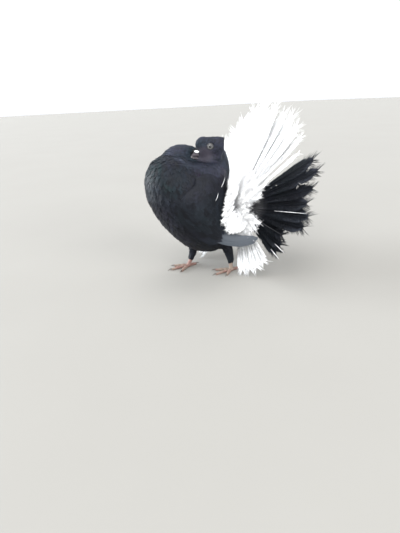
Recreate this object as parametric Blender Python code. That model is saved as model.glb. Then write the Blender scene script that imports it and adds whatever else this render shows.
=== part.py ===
# A standing fantail pigeon, life size, head drawn back and tail raised in a full fan.
#
# The bird faces -Y, its left side is +X, and the floor is Z = 0. Rings and paths are
# written in millimetres, from the floor point midway between the two feet. The last
# step moves everything so that the origin lies under the middle of the whole bird.

import math
import random

import bmesh
import bpy
from mathutils import Vector

for leftover in list(bpy.data.objects):
    bpy.data.objects.remove(leftover, do_unlink=True)

MM = 0.001
GAP = 0.3
VANE = 0.55
X_AXIS = Vector((1, 0, 0))
Y_AXIS = Vector((0, 1, 0))
Z_AXIS = Vector((0, 0, 1))

# Torso and neck: height of the ring, its front, its back, and its half width.
TORSO = (
    (31, -4, 16, 9), (36, -24, 22, 22), (46, -40, 26, 33), (60, -55, 26, 41),
    (78, -70, 26, 47), (98, -83, 27, 50), (120, -93, 30, 51), (142, -96, 33, 49),
    (157, -94, 30, 45), (167, -89, 18, 39), (173, -84, -26, 32), (181, -70, -40, 20),
)
# The crop is pushed this far to the bird's right by the turned head.
CROP_ASIDE = 18
CROP_LOBE = (
    (138, -76, -10, 30), (156, -75, -10, 28), (171, -67, -12, 25),
    (182, -57, -11, 22), (189.5, -47, -13, 17), (193.5, -37, -20, 7),
)
NECK = (
    (126, -20, 28, 30), (141, -18, 35, 30), (154, -14, 38.5, 26),
    (166, -10, 38.5, 20.5), (176, -5, 36.5, 14.5), (185, 4, 33, 7.5),
)

# Head: its middle between the eyes, and how far it is turned to the bird's right.
HEAD_MIDDLE = Vector((10, 1.2, 190))
HEAD_TURN = math.radians(20)
# Distance ahead of the eyes, bottom, top and half width of each ring.
HEAD = (
    (20.5, -11, -6, 2.6), (18.5, -15.5, -1.5, 5), (14.5, -19, 5.5, 7.4),
    (8.5, -21.5, 11.6, 9.2), (1.5, -23, 13.4, 10.1), (-6, -23, 13.6, 10.8),
    (-13.5, -21, 13.2, 10.8), (-19.5, -15, 12.4, 9), (-22.8, -5, 9.8, 4),
)
BILL_UPPER = (
    (12, -14.8, -5.4, 4.8), (17, -14.3, -6.3, 4.2), (21, -14.1, -7.9, 3.4),
    (24.5, -14.9, -10.4, 2.4), (27.2, -17.4, -14.2, 1.1),
)
BILL_LOWER = (
    (12, -19, -15.1, 4.5), (17, -18.2, -14.6, 3.8),
    (21, -17.4, -14.4, 2.9), (24.4, -17, -15.3, 1.4),
)
EYE_RADIUS = 4.7
EYE_OUT = 5.6
LID_RADIUS = 3.9
LID_THICK = 0.8
CREST_FEATHERS = 3
CERE_PLACE = (19.6, 1.7, -5.6)
CERE_HALF = (2.7, 3.2, 2.0)
NOSTRIL_PLACE = (20.6, 3.4, -7)
NOSTRIL_HALF = (1.2, 1.9, 0.6)

# Feet: where each leg meets the floor, and where it leaves the belly.
FOOT = {"left": Vector((28.4, 22.7, 0)), "right": Vector((-28.4, -22.7, 0))}
HIP = {"left": Vector((20, 12, 56)), "right": Vector((-21, -14, 56))}
TOE_LENGTH = {"inner": 22, "middle": 29, "outer": 24, "hind": 16}
TOE_TURN = {"inner": 38, "middle": 3, "outer": -36, "hind": 176}
TOE_RADIUS = 2.7
CLAW_LENGTH = 6.5
CLAW_HEIGHT = 2.1
CLAW_RADIUS = 1.25
SHANK_RADIUS = 2.9
STOCKING_FOOT = 10

# Folded wing: its lower and upper edge, each a list of distance back and height.
WING_LOWER = ((-50, 141), (-66, 112), (-50, 82), (-16, 58), (18, 51), (46, 56))
WING_UPPER = ((-44, 150), (-20, 152), (-3, 127), (-3, 97), (12, 71), (45, 65))
WING_TIP_OUT = 66
WING_FLARE = (0.38, -0.30)
WING_CORE_END = 0.56
WING_CORE_WIDE = 0.86
WING_CORE_SUNK = 5
WING_THICK = 5.5
# The flight feathers: where along the wing they are rooted, how many, and half width.
FLIGHT_ROOT = 0.42
PRIMARIES = 5
PRIMARY_HALF = 7
SECONDARIES = 5
SECONDARY_HALF = 7.5
# How deep a vane is rooted in the core, and how far one lies above the next.
VANE_SUNK = 1.7
VANE_STEP = 0.95
WING_SEED = 55
# Each tier of wing coverts: where its feathers start and end, how many, half width, height.
COVERT_TIERS = ((0.30, 0.62, 5, 7.6, 5.0), (0.17, 0.45, 5, 7.6, 5.8), (0.07, 0.29, 5, 7.2, 6.2))

# Tail: the point its feathers spread from and the lean of the fan. Each feather's place in
# degrees from the middle is given for one side; the reach and the backward sweep go by degrees,
# positive on the bird's left.
TAIL_ROOT = Vector((0, 54, 90))
TAIL_LEAN = math.radians(27)
FEATHER_PLACES = (0, 8.5, 17, 25.5, 33.5, 44.5, 55.5, 62, 68.5, 77.5, 83.5, 89.5,
                  99, 105.5, 112, 121, 130, 139, 148)
FEATHER_ROLL = math.radians(7)
FAN_REACH = (
    (-148, 108), (-121, 114), (-112, 119), (-99, 119), (-89, 152), (-62, 160), (-45, 151),
    (-33.5, 156), (-22, 170), (-12, 180), (0, 173), (5, 167), (17, 164), (25.5, 158),
    (33.5, 150), (44.5, 141), (55.5, 156), (62, 161), (68.5, 155), (77.5, 147), (83.5, 153),
    (89.5, 154), (99, 117), (105.5, 122), (112, 119), (121, 114), (130, 117), (139, 113), (148, 108),
)
FAN_SWEEP = ((0, 0), (85, 0.02), (104, 0.2), (122, 0.27), (152, 0.14))
FAN_BOW = 80
# A tail feather's stalk opens by this share of its distance from the root, up to a half width.
# Its vane starts at one distance and is at its full half width from another.
STALK_OPEN = 0.065
STALK_HALF = 3
RECTRIX_START = 46
RECTRIX_FULL = 118
RECTRIX_HALF = 12.5
TAIL_STATIONS = 6
PLATE_HALF = 2.6
PLATE_RADIUS = 19
TAIL_PARTS = {
    "tail_middle": (-5, 5),
    "tail_side_left": (6, 14),
    "tail_lower_left": (15, 18),
    "tail_side_right": (-14, -6),
    "tail_lower_right": (-18, -15),
}
# Coverts: how many, degrees to each side, reach, height off the fan at start and end, half width.
FRONT_COVERTS = ((12, 146, 68, 6, 8, 11), (8, 132, 56, 12, 18, 11), (6, 100, 44, 19, 27, 10))
BACK_COVERTS = ((8, 112, 66, 5, 7, 10), (6, 88, 46, 8, 12, 9.5))
FRONT_CUSHION = 32
BACK_CUSHION = 10

BLACK = (0.018, 0.02, 0.026, 1)
SLATE = (0.045, 0.055, 0.07, 1)
WHITE = (0.86, 0.86, 0.84, 1)


def finish(name, colour, roughness, metallic=0.0):
    """One plain finish for a sub-part."""
    material = bpy.data.materials.new(name)
    material.use_nodes = True
    shader = material.node_tree.nodes["Principled BSDF"]
    shader.inputs["Base Color"].default_value = colour
    shader.inputs["Roughness"].default_value = roughness
    shader.inputs["Metallic"].default_value = metallic
    material.diffuse_color = colour
    return material


def along(rows, t):
    """A point of the smooth curve through the rows, for t from 0 at the first to 1 at the last."""
    spot = min(max(t, 0), 1) * (len(rows) - 1)
    i = min(int(spot), len(rows) - 2)
    t = spot - i
    before, start, end, after = (rows[min(max(i + k, 0), len(rows) - 1)] for k in (-1, 0, 1, 2))
    return [
        b + 0.5 * t * ((c - a) + t * ((2 * a - 5 * b + 4 * c - d) + t * (3 * (b - c) + d - a)))
        for a, b, c, d in zip(before, start, end, after)
    ]


def at(rows, x):
    """The value at x of a table of (x, value) rows, on straight lines between them."""
    for (x0, v0), (x1, v1) in zip(rows, rows[1:]):
        if x <= x1:
            return v0 + (v1 - v0) * (x - x0) / (x1 - x0)
    return rows[-1][1]


def build(name, points, faces):
    """A mesh object from points in millimetres."""
    mesh = bpy.data.meshes.new(name)
    mesh.from_pydata([p * MM for p in points], [], faces)
    body = bmesh.new()
    body.from_mesh(mesh)
    bmesh.ops.triangulate(body, faces=[f for f in body.faces if len(f.verts) > 4])
    bmesh.ops.recalc_face_normals(body, faces=body.faces)
    body.to_mesh(mesh)
    body.free()
    thing = bpy.data.objects.new(name, mesh)
    bpy.context.scene.collection.objects.link(thing)
    return thing


def skin_over(name, rings):
    """A closed mesh over rings of equal length, with a point in the middle of each end."""
    count = len(rings[0])
    points = [p for ring in rings for p in ring]
    faces = []
    for r in range(len(rings) - 1):
        for k in range(count):
            a, b = r * count + k, r * count + (k + 1) % count
            faces.append((a, b, b + count))
            faces.append((a, b + count, a + count))
    for ring, start in ((rings[0], 0), (rings[-1], (len(rings) - 1) * count)):
        middle = len(points)
        points.append(sum(ring, Vector()) / count)
        faces.extend((start + k, start + (k + 1) % count, middle) for k in range(count))
    return build(name, points, faces)


def oval(middle, across, upward, half_width, half_height, sides, power=2.0):
    """A ring round a middle point; a power above 2 makes it squarer."""
    ring = []
    for k in range(sides):
        turn = 2 * math.pi * k / sides
        c, s = math.cos(turn), math.sin(turn)
        size = (abs(c) ** power + abs(s) ** power) ** (-1 / power)
        ring.append(middle + across * (half_width * c * size) + upward * (half_height * s * size))
    return ring


def upright(name, rows, rings, sides, grow=0.0, aside=0.0):
    """A body of level oval rings from a table of height, front, back and half width, set aside to
    the bird's right."""
    loft = []
    for k in range(rings):
        z, front, back, half = along(rows, k / (rings - 1))
        z += grow * (2 * k / (rings - 1) - 1)
        middle = Vector((-aside, (front + back) / 2, z))
        loft.append(oval(middle, X_AXIS, Y_AXIS, half + grow, (back - front) / 2 + grow, sides))
    return skin_over(name, loft)


def head_point(ahead, left, up):
    """A point given from the middle of the head, along its own turned axes."""
    forward = Vector((-math.sin(HEAD_TURN), -math.cos(HEAD_TURN), 0))
    leftward = Vector((math.cos(HEAD_TURN), -math.sin(HEAD_TURN), 0))
    return HEAD_MIDDLE + forward * ahead + leftward * left + Z_AXIS * up


def level(name, rows, rings, sides, grow=0.0, power=2.0):
    """A body of upright oval rings along the head, from distance ahead, bottom, top and half width."""
    leftward = head_point(0, 1, 0) - HEAD_MIDDLE
    lengthen = math.copysign(grow, rows[0][0] - rows[-1][0])
    loft = []
    for k in range(rings):
        ahead, low, high, half = along(rows, k / (rings - 1))
        ahead += lengthen * (1 - 2 * k / (rings - 1))
        middle = head_point(ahead, 0, (low + high) / 2)
        loft.append(oval(middle, leftward, Z_AXIS, half + grow, (high - low) / 2 + grow, sides, power))
    return skin_over(name, loft)


def tube(name, path, radii, sides, flatten=1.0, floor=None):
    """A round limb along a path; a floor height lays its underside flat there."""
    loft = []
    for k, (spot, radius) in enumerate(zip(path, radii)):
        way = (path[min(k + 1, len(path) - 1)] - path[max(k - 1, 0)]).normalized()
        across = way.cross(Z_AXIS) if abs(way.z) < 0.9 else way.cross(Y_AXIS)
        across.normalize()
        ring = oval(spot, across, across.cross(way), radius, radius * flatten, sides)
        if floor is not None:
            ring = [Vector((p.x, p.y, max(p.z, floor))) for p in ring]
        loft.append(ring)
    return skin_over(name, loft)


def ball(name, middle, half, sides=12, rings=8):
    """An ellipsoid with the three half sizes given along X, Y and Z."""
    loft = []
    for k in range(1, rings):
        turn = math.pi * k / rings
        spot = middle - Z_AXIS * (half[2] * math.cos(turn))
        flat = math.sin(turn)
        loft.append(oval(spot, X_AXIS, Y_AXIS, half[0] * flat, half[1] * flat, sides))
    thing = skin_over(name, loft)
    ends = thing.data.vertices
    ends[-2].co = (middle - Z_AXIS * half[2]) * MM
    ends[-1].co = (middle + Z_AXIS * half[2]) * MM
    return thing


def feather(name, place, half_width, thick, stations, crown=0.0, tip=(0, 0, 0)):
    """A closed vane. place(t) gives its midline, sideways and outward directions at t from 0 to 1,
    half_width(t) its half width, and tip how far the left edge, the shaft and the right edge of
    its end stand past the last station."""
    points = []
    places = (-1, 0, 1) if crown else (-1, 1)
    for k in range(stations):
        t = k / (stations - 1)
        spot, side, out = place(t)
        half = half_width(t)
        ends = tip if k == stations - 1 else (0, 0, 0)
        way = side.cross(out).normalized()
        upper = [spot + side * (half * s) + out * (thick / 2 + crown * half * (1 - s * s)) + way * e
                 for s, e in zip(places, ends)]
        points.extend(upper)
        points.extend(p - out * thick for p in reversed(upper))
    count = 2 * len(places)
    last = count - 1
    faces = []
    for a in range(0, (stations - 1) * count, count):
        b = a + count
        for k in range(len(places) - 1):
            faces.append((a + k, a + k + 1, b + k + 1))
            faces.append((a + k, b + k + 1, b + k))
            faces.append((a + last - k, b + last - 1 - k, a + last - 1 - k))
            faces.append((a + last - k, b + last - k, b + last - 1 - k))
        for k in (len(places) - 1, last):
            after = (k + 1) % count
            faces.append((a + k, a + after, b + after))
            faces.append((a + k, b + after, b + k))
    for a in (0, (stations - 1) * count):
        for k in range(len(places) - 1):
            faces.append((a + k, a + k + 1, a + last - 1 - k))
            faces.append((a + k, a + last - 1 - k, a + last - k))
    return build(name, points, faces)


def largest_only(thing):
    """Keeps the largest closed surface of a mesh and drops the rest."""
    body = bmesh.new()
    body.from_mesh(thing.data)
    bmesh.ops.triangulate(body, faces=body.faces)
    seen = set()
    shells = []
    for start in body.faces:
        if start in seen:
            continue
        shell = []
        stack = [start]
        seen.add(start)
        while stack:
            face = stack.pop()
            shell.append(face)
            for edge in face.edges:
                for other in edge.link_faces:
                    if other not in seen:
                        seen.add(other)
                        stack.append(other)
        shells.append(shell)
    shells.sort(key=lambda shell: sum(face.calc_area() for face in shell))
    for shell in shells[:-1]:
        bmesh.ops.delete(body, geom=shell, context="FACES")
    body.to_mesh(thing.data)
    body.free()


def settle(thing):
    """Applies the modifiers of an object."""
    graph = bpy.context.evaluated_depsgraph_get()
    mesh = bpy.data.meshes.new_from_object(thing.evaluated_get(graph))
    thing.modifiers.clear()
    thing.data = mesh


def fuse(name, pieces, look, cutters=()):
    """Joins closed pieces into one body, cuts it clear of its neighbours, and gives it its finish."""
    thing = pieces[0]
    thing.name = name
    if len(pieces) > 1:
        group = bpy.data.collections.new(name + "_pieces")
        for piece in pieces[1:]:
            bpy.context.scene.collection.objects.unlink(piece)
            group.objects.link(piece)
        union = thing.modifiers.new("Union", "BOOLEAN")
        union.operation = "UNION"
        union.operand_type = "COLLECTION"
        union.collection = group
        union.solver = "MANIFOLD"
        settle(thing)
        for piece in list(group.objects):
            bpy.data.objects.remove(piece, do_unlink=True)
        bpy.data.collections.remove(group)
        largest_only(thing)
    for cutter in cutters:
        cut = thing.modifiers.new("Cut", "BOOLEAN")
        cut.operation = "DIFFERENCE"
        cut.object = cutter
        cut.solver = "MANIFOLD"
        settle(thing)
    largest_only(thing)
    thing.data.name = name
    thing.data.materials.clear()
    thing.data.materials.append(look)
    thing.data.shade_smooth()
    thing.data.set_sharp_from_angle(angle=math.radians(40))
    return thing


def cutter(thing):
    """Marks a body that only shapes its neighbours."""
    thing.hide_render = True
    thing.display_type = "WIRE"
    return thing


def make_torso(look, clear):
    ball_of_breast = upright("torso", TORSO, 12, 24)
    lobe = upright("lobe", CROP_LOBE, 7, 18, 0.0, CROP_ASIDE)
    fuse("torso", [ball_of_breast, lobe], look, clear)


def make_neck(look, clear):
    fuse("neck", [upright("neck", NECK, 8, 18)], look, clear)


def make_head(look, eyes):
    """Head with raised lids and a short peak of feathers at the nape."""
    pieces = [level("head", HEAD, 11, 16)]
    for side in (-1, 1):
        ring = []
        for k in range(10):
            turn = 2 * math.pi * k / 10
            out = 9.5 - 0.35 * abs(math.sin(turn))
            ring.append(head_point(LID_RADIUS * math.cos(turn), side * out, LID_RADIUS * math.sin(turn)))
        pieces.append(hoop("lid", ring, head_point(0, side * 9.5, 0), LID_THICK))
    for k in range(CREST_FEATHERS):
        lean = (k - (CREST_FEATHERS - 1) / 2) / CREST_FEATHERS * 1.6
        pieces.append(crest_feather(lean))
    fuse("head", pieces, look, eyes)


def hoop(name, path, middle, thick):
    """A closed ring of small square section round a middle point."""
    count = len(path)
    points = []
    for k, spot in enumerate(path):
        outward = (spot - middle).normalized()
        way = (path[(k + 1) % count] - path[k - 1]).normalized()
        rise = outward.cross(way)
        points.extend(spot + outward * (thick * a) + rise * (thick * b)
                      for a, b in ((1, 0), (0, 1), (-1, 0), (0, -1)))
    faces = []
    for k in range(count):
        a, b = k * 4, (k + 1) % count * 4
        for j in range(4):
            faces.append((a + j, a + (j + 1) % 4, b + (j + 1) % 4))
            faces.append((a + j, b + (j + 1) % 4, b + j))
    return build(name, points, faces)


def crest_feather(lean):
    """One short feather of the nape's peak."""
    root = head_point(-12, 5 * lean, 9)
    tip = head_point(-24, 6 * lean, 11.5 - 3 * abs(lean))
    side = (head_point(0, 1, 0) - HEAD_MIDDLE)
    way = (tip - root).normalized()

    def place(t):
        return root + (tip - root) * t, side, way.cross(side).normalized() * -1

    return feather("crest", place, lambda t: 3.2 * (1 - t) ** 0.6 + 0.5, 1.1, 3)


def eye_ball(name, side, grow=0.0):
    size = EYE_RADIUS + grow
    return ball(name, head_point(0, side * EYE_OUT, 0), (size, size, size), 12, 8)


def cere_lobe(name, side, grow=0.0):
    """One of the two powdery lobes over the nostrils."""
    ahead, out, up = CERE_PLACE
    return ball(name, head_point(ahead, side * out, up), [half + grow for half in CERE_HALF], 8, 6)


def make_bill(look, cere_look, head_grown):
    upper = level("bill_upper", BILL_UPPER, 7, 10, power=2.6)
    lower = level("bill_lower", BILL_LOWER, 6, 10, power=2.6)
    fuse("bill_upper", [upper], look, [head_grown])
    lower_clear = cutter(level("upper_grown", BILL_UPPER, 7, 10, GAP, 2.6))
    fuse("bill_lower", [lower], look, [head_grown, lower_clear])
    lobes = [cere_lobe("cere", side) for side in (-1, 1)]
    ahead, out, up = NOSTRIL_PLACE
    slots = [cutter(ball("nostril", head_point(ahead, side * out, up), NOSTRIL_HALF, 6, 4))
             for side in (-1, 1)]
    fuse("cere", lobes, cere_look, [head_grown, lower_clear] + slots)


def shank(name, side, grow=0.0):
    """The bare lower leg, which ends in a socket of the feathered one."""
    start = FOOT[side] + Z_AXIS * 2.5
    end = leg_path(side, STOCKING_FOOT + 3 + grow)
    return tube(name, [start, (start + end) / 2, end], [SHANK_RADIUS + grow] * 3, 8)


def make_foot(side, look, claw_look):
    """Toes flat on the floor, the bare foot of the shank, and a claw on each toe."""
    middle = FOOT[side]
    sign = 1 if side == "left" else -1
    pieces = [ball("pad", middle + Z_AXIS * 2.6, (4.6, 4.8, 3.0), 8, 6)]
    pieces.append(shank("shank", side))
    claws = []
    for toe, length in TOE_LENGTH.items():
        turn = math.radians(TOE_TURN[toe]) * sign
        way = Vector((math.sin(turn), -math.cos(turn), 0))
        path, radii = [], []
        for k in range(7):
            t = k / 6
            knuckle = 1 + 0.10 * math.cos(2 * math.pi * t * 3)
            radius = TOE_RADIUS * (1 - 0.34 * t) * knuckle
            arch = 1.1 * math.sin(math.pi * t)
            path.append(middle + way * (length * t) + Z_AXIS * (radius * 0.8 + arch * 0.4))
            radii.append(radius)
        pieces.append(tube("toe", path, radii, 6, floor=0.0))
        claws.append((toe, middle + way * length, way))
    foot = fuse(f"foot_{side}", pieces, look)
    settle_on_floor(foot)
    for toe, tip, way in claws:
        make_claw(f"claw_{side}_{toe}", tip, way, claw_look)


def make_claw(name, tip, way, look):
    """A curved claw that starts face to face with the blunt end of its toe."""
    path, radii = [], []
    for k in range(4):
        t = k / 3
        height = CLAW_HEIGHT + 0.5 * math.sin(3 * t) - 1.35 * t * t
        path.append(tip + way * (GAP + CLAW_LENGTH * t) + Z_AXIS * height)
        radii.append(CLAW_RADIUS * (1 - t) ** 0.8 + 0.12)
    fuse(name, [tube(name, path, radii, 5)], look)


def settle_on_floor(thing):
    """Lays what lies within a hair of the floor exactly on it."""
    for vertex in thing.data.vertices:
        if vertex.co.z < 0.00002:
            vertex.co.z = 0.0


def leg_path(side, height):
    """The middle of the leg at a height, on a slight bend from the foot to the hip."""
    t = height / HIP[side].z
    bend = Vector((0, 5 * math.sin(math.pi * min(t, 1)), 0))
    return FOOT[side].lerp(HIP[side], t) + bend


def make_leg(side, look, torso_grown):
    """Feathered thigh and stocking, with a few hanging feathers."""
    path, radii = [], []
    for k in range(8):
        t = k / 7
        path.append(leg_path(side, STOCKING_FOOT + (HIP[side].z - STOCKING_FOOT) * t))
        radii.append(stocking_radius(t))
    pieces = [tube("leg", path, radii, 12)]
    draw = random.Random(5 if side == "left" else 9)
    for ring, (height, length) in enumerate(((41, 15), (28, 12))):
        for k in range(4):
            turn = 2 * math.pi * (k + 0.5 * ring) / 4
            pieces.append(leg_feather(side, height, turn, length + draw.uniform(-1.5, 1.5)))
    fuse(f"leg_{side}", pieces, look, [torso_grown, cutter(shank("shank_grown", side, GAP))])


def stocking_radius(t):
    """The leg's radius under its feathers, from the ankle at 0 to the hip at 1."""
    return 5.0 + 8.9 * max(t, 0) ** 1.6


def leg_feather(side, height, turn, length):
    outward = Vector((math.cos(turn), math.sin(turn), 0))
    sideways = Vector((-math.sin(turn), math.cos(turn), 0))

    def place(t):
        z = height - length * t
        radius = stocking_radius((z - STOCKING_FOOT) / (HIP[side].z - STOCKING_FOOT))
        return leg_path(side, z) + outward * (radius - 1.6 + 3.4 * t), sideways, outward

    return feather("stocking", place, lambda t: 3.4 * (1 - t ** 3) + 0.5, 0.8, 3)


def torso_ring(z):
    """Middle, half depth and half width of the torso at a height."""
    low, high = 0.0, 1.0
    for _ in range(24):
        t = (low + high) / 2
        if along(TORSO, t)[0] < z:
            low = t
        else:
            high = t
    _, front, back, half = along(TORSO, low)
    return (front + back) / 2, (back - front) / 2, half


def wing_surface(y, z):
    """How far out the folded wing lies at a distance back and a height."""
    middle, depth, half = torso_ring(z)
    inside = max(1 - ((y - middle) / depth) ** 2, 0)
    body = half * math.sqrt(inside)
    flare = WING_TIP_OUT + WING_FLARE[0] * (y - WING_LOWER[-1][0]) + WING_FLARE[1] * (z - WING_LOWER[-1][1])
    spread = math.sqrt((body - flare) ** 2 + 60)
    return (body + flare + spread) / 2


def wing_point(side, s, v, lift):
    """A point of the wing, s from bend to tip, v from the lower edge at -1 to the upper at 1."""
    low = along(WING_LOWER, s)
    high = along(WING_UPPER, s)
    y, z = (a + (b - a) * (v + 1) / 2 for a, b in zip(low, high))
    return Vector((side * (wing_surface(y, z) + lift), y, z))


def core_height(s, v):
    """How far the wing's core stands off the side of the body."""
    taper = 1 - 0.6 * (s / WING_CORE_END) ** 2
    return WING_THICK * taper * (1 - abs(v) ** 3) * min(1, 0.4 + 4 * s)


def wing_core(side):
    """The muscle and bone of the wing, a pillow on the side of the body."""
    rows, columns = 8, 7
    rings = []
    for r in range(rows):
        s = WING_CORE_END * (0.02 + 0.98 * r / (rows - 1))
        ring = []
        for k in range(columns):
            v = WING_CORE_WIDE * (2 * k / (columns - 1) - 1)
            ring.append(wing_point(side, s, v, core_height(s, v)))
        under = (v * WING_CORE_WIDE for v in (0.9, 0.3, -0.3, -0.9))
        ring.extend(wing_point(side, s, v, -WING_CORE_SUNK) for v in under)
        rings.append(ring)
    return skin_over("wing", rings)


def wing_feather(side, start, end, lifts, half, crown=0.0, stations=4):
    """A vane laid on the wing from start to end, each a pair of s and v."""

    def spot(t):
        s = start[0] + (end[0] - start[0]) * t
        v = start[1] + (end[1] - start[1]) * t
        return wing_point(side, s, v, lifts[0] + (lifts[1] - lifts[0]) * t)

    def place(t):
        here = spot(t)
        way = (spot(min(t + 0.02, 1)) - spot(max(t - 0.02, 0))).normalized()
        across = spot_across(here)
        out = way.cross(across) * -side
        return here, out.cross(way).normalized() * side, out.normalized()

    def spot_across(here):
        ahead = Vector((side * wing_surface(here.y, here.z + 1), here.y, here.z + 1))
        behind = Vector((side * wing_surface(here.y, here.z - 1), here.y, here.z - 1))
        return (ahead - behind).normalized()

    def width(t):
        return half * min(1, 0.45 + 2.2 * t) * (1 - max(t - 0.6, 0) ** 2 * 4.4)

    return feather("vane", place, width, VANE, stations, crown)


def make_wing(name, side, look, clear):
    """Core, flight feathers and three tiers of coverts, each rooted in the core."""
    draw = random.Random(WING_SEED + side)
    pieces = [wing_core(side)]

    def lay(start, end, rise, half, crown=0.0, stations=4):
        start = (start[0], start[1] + draw.uniform(-0.02, 0.02))
        end = (end[0] + draw.uniform(-0.012, 0.012), end[1] + draw.uniform(-0.02, 0.02))
        lifts = (core_height(*start) - VANE_SUNK, rise + draw.uniform(-0.1, 0.1))
        pieces.append(wing_feather(side, start, end, lifts, half, crown, stations))

    for k in range(PRIMARIES):
        end = (1 - 0.06 * k, -0.5 + 0.2 * k)
        lay((FLIGHT_ROOT, -0.6 + 0.1 * k), end, 0.4 - VANE_STEP * k, PRIMARY_HALF, 0.1, 6)
    for k in range(SECONDARIES):
        v = -0.3 + 0.24 * k
        lay((FLIGHT_ROOT, v * 0.8), (0.79 - 0.04 * k, v + 0.03), 2.0 + VANE_STEP * k, SECONDARY_HALF)
    for start, stop, count, half, lift in COVERT_TIERS:
        for k in range(count):
            v = -0.72 + 1.42 * k / (count - 1)
            lay((start, v * 0.8), (stop, v), lift + VANE_STEP * (k % 2), half)
    fuse(name, pieces, look, clear)


def fan_axes(angle):
    """The direction of a tail feather, the sideways direction, and the back of the fan."""
    up = Vector((0, math.sin(TAIL_LEAN), math.cos(TAIL_LEAN)))
    back = Vector((0, math.cos(TAIL_LEAN), -math.sin(TAIL_LEAN)))
    way = up * math.cos(angle) + X_AXIS * math.sin(angle)
    side = X_AXIS * math.cos(angle) - up * math.sin(angle)
    return way, side, back


def fan_bow(angle, r):
    """How far back of the fan's plane its feathers bow at a distance from the root."""
    sweep = at(FAN_SWEEP, abs(math.degrees(angle)))
    return sweep * FAN_BOW * (1 - math.exp(-r / FAN_BOW)) * min(1, r / 60)


def feather_angle(number):
    """Where a tail feather stands, by its number from the middle; a half number lies between two."""
    low = min(int(abs(number)), len(FEATHER_PLACES) - 2)
    start, end = FEATHER_PLACES[low:low + 2]
    return math.radians(math.copysign(start + (end - start) * (abs(number) - low), number))


def tail_feather(number, draw):
    """One long feather of the fan, narrow near its root, broad and ragged at its end."""
    angle = feather_angle(number)
    way, side, back = fan_axes(angle)
    reach = at(FAN_REACH, math.degrees(angle)) + draw.uniform(-3, 3)
    outward = (number > 0) - (number < 0)
    roll = FEATHER_ROLL * outward
    turned = side * math.cos(roll) - back * math.sin(roll)
    facing = back * math.cos(roll) + side * math.sin(roll)
    forward = -0.9 if number == 0 else 0.0
    curl = draw.uniform(-0.5, 1.5)
    tip = [draw.uniform(-7, -4), draw.uniform(0, 4), draw.uniform(-7, -4)]
    first = PLATE_RADIUS - 7

    def place(t):
        r = first + (reach - first) * t
        bow = fan_bow(angle, r) + curl * t * t
        return TAIL_ROOT + way * r + back * (forward + bow), turned, facing

    def half(t):
        r = first + (reach - first) * t
        stalk = min(STALK_OPEN * r, STALK_HALF)
        broad = RECTRIX_HALF * min(1, (r / RECTRIX_FULL) ** 1.6) if r > RECTRIX_START else 0
        return max(stalk, broad) * (1 - 0.35 * max(t - 0.82, 0) / 0.18)

    return feather("rectrix", place, half, VANE, TAIL_STATIONS, 0.08, tip)


def sector(name, first, last):
    """The wedge of the tail's root that carries the feathers from one number to another."""
    inner = [(k, 3.5) for k in (8, 4, 0)]
    outer = [(k, PLATE_RADIUS) for k in range(9)]
    start = feather_angle(first - 0.5)
    stop = feather_angle(last + 0.5)
    rings = []
    for height in (-PLATE_HALF, PLATE_HALF):
        ring = []
        for k, radius in outer + inner:
            way, side, back = fan_axes(start + (stop - start) * k / 8)
            clear = GAP / 2 if k == 0 else -GAP / 2 if k == 8 else 0
            ring.append(TAIL_ROOT + way * radius + side * clear + back * height)
        rings.append(ring)
    return skin_over(name, rings)


def make_tail(looks, clear):
    for name, (first, last) in TAIL_PARTS.items():
        draw = random.Random(len(name) * 7 + abs(first))
        pieces = [sector(name, first, last)]
        pieces.extend(tail_feather(number, draw) for number in range(first, last + 1))
        fuse(name, pieces, looks[name], clear)


def covert(angle, root, reach, start, stop, half, facing):
    """A short feather in front of the fan or behind it, from one height off the fan to another."""
    way, side, back = fan_axes(angle)

    def place(t):
        r = root + (reach - root) * t
        height = start + (stop - start) * math.sin(t * math.pi / 2)
        return TAIL_ROOT + way * r + back * (height * facing + fan_bow(angle, r)), side, back * facing

    def width(t):
        return half * min(1, 0.4 + 2 * t) * (1 - max(t - 0.6, 0) ** 2 * 4)

    return feather("covert", place, width, VANE, 4)


def make_coverts(name, facing, tiers, core_depth, look, clear):
    """A cushion on one side of the fan's root, with its tiers of coverts."""
    way, side, back = fan_axes(0)
    rings = []
    for k in range(5):
        turn = math.pi / 2 * k / 5
        size = math.cos(turn)
        height = PLATE_HALF + GAP + core_depth * math.sin(turn)
        rings.append(oval(TAIL_ROOT + back * (height * facing), side, way, 24 * size, 22 * size, 14))
    pieces = [skin_over(name, rings)]
    for count, spread, reach, start, stop, half in tiers:
        for k in range(count):
            angle = math.radians(spread) * (2 * k / (count - 1) - 1)
            off = 0.9 * (k % 2)
            pieces.append(covert(angle, 11, reach, start + off, stop + off, half, facing))
    fuse(name, pieces, look, clear)


def stand_on_origin():
    """Moves the bird so that the origin lies on the floor under the middle of its whole extent."""
    solids = [thing for thing in bpy.data.objects if not thing.hide_render]
    corners = [thing.matrix_world @ vertex.co for thing in solids for vertex in thing.data.vertices]
    low = Vector(min(c[k] for c in corners) for k in range(3))
    high = Vector(max(c[k] for c in corners) for k in range(3))
    shift = Vector(((low.x + high.x) / 2, (low.y + high.y) / 2, low.z))
    for thing in solids:
        for vertex in thing.data.vertices:
            vertex.co -= shift


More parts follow.
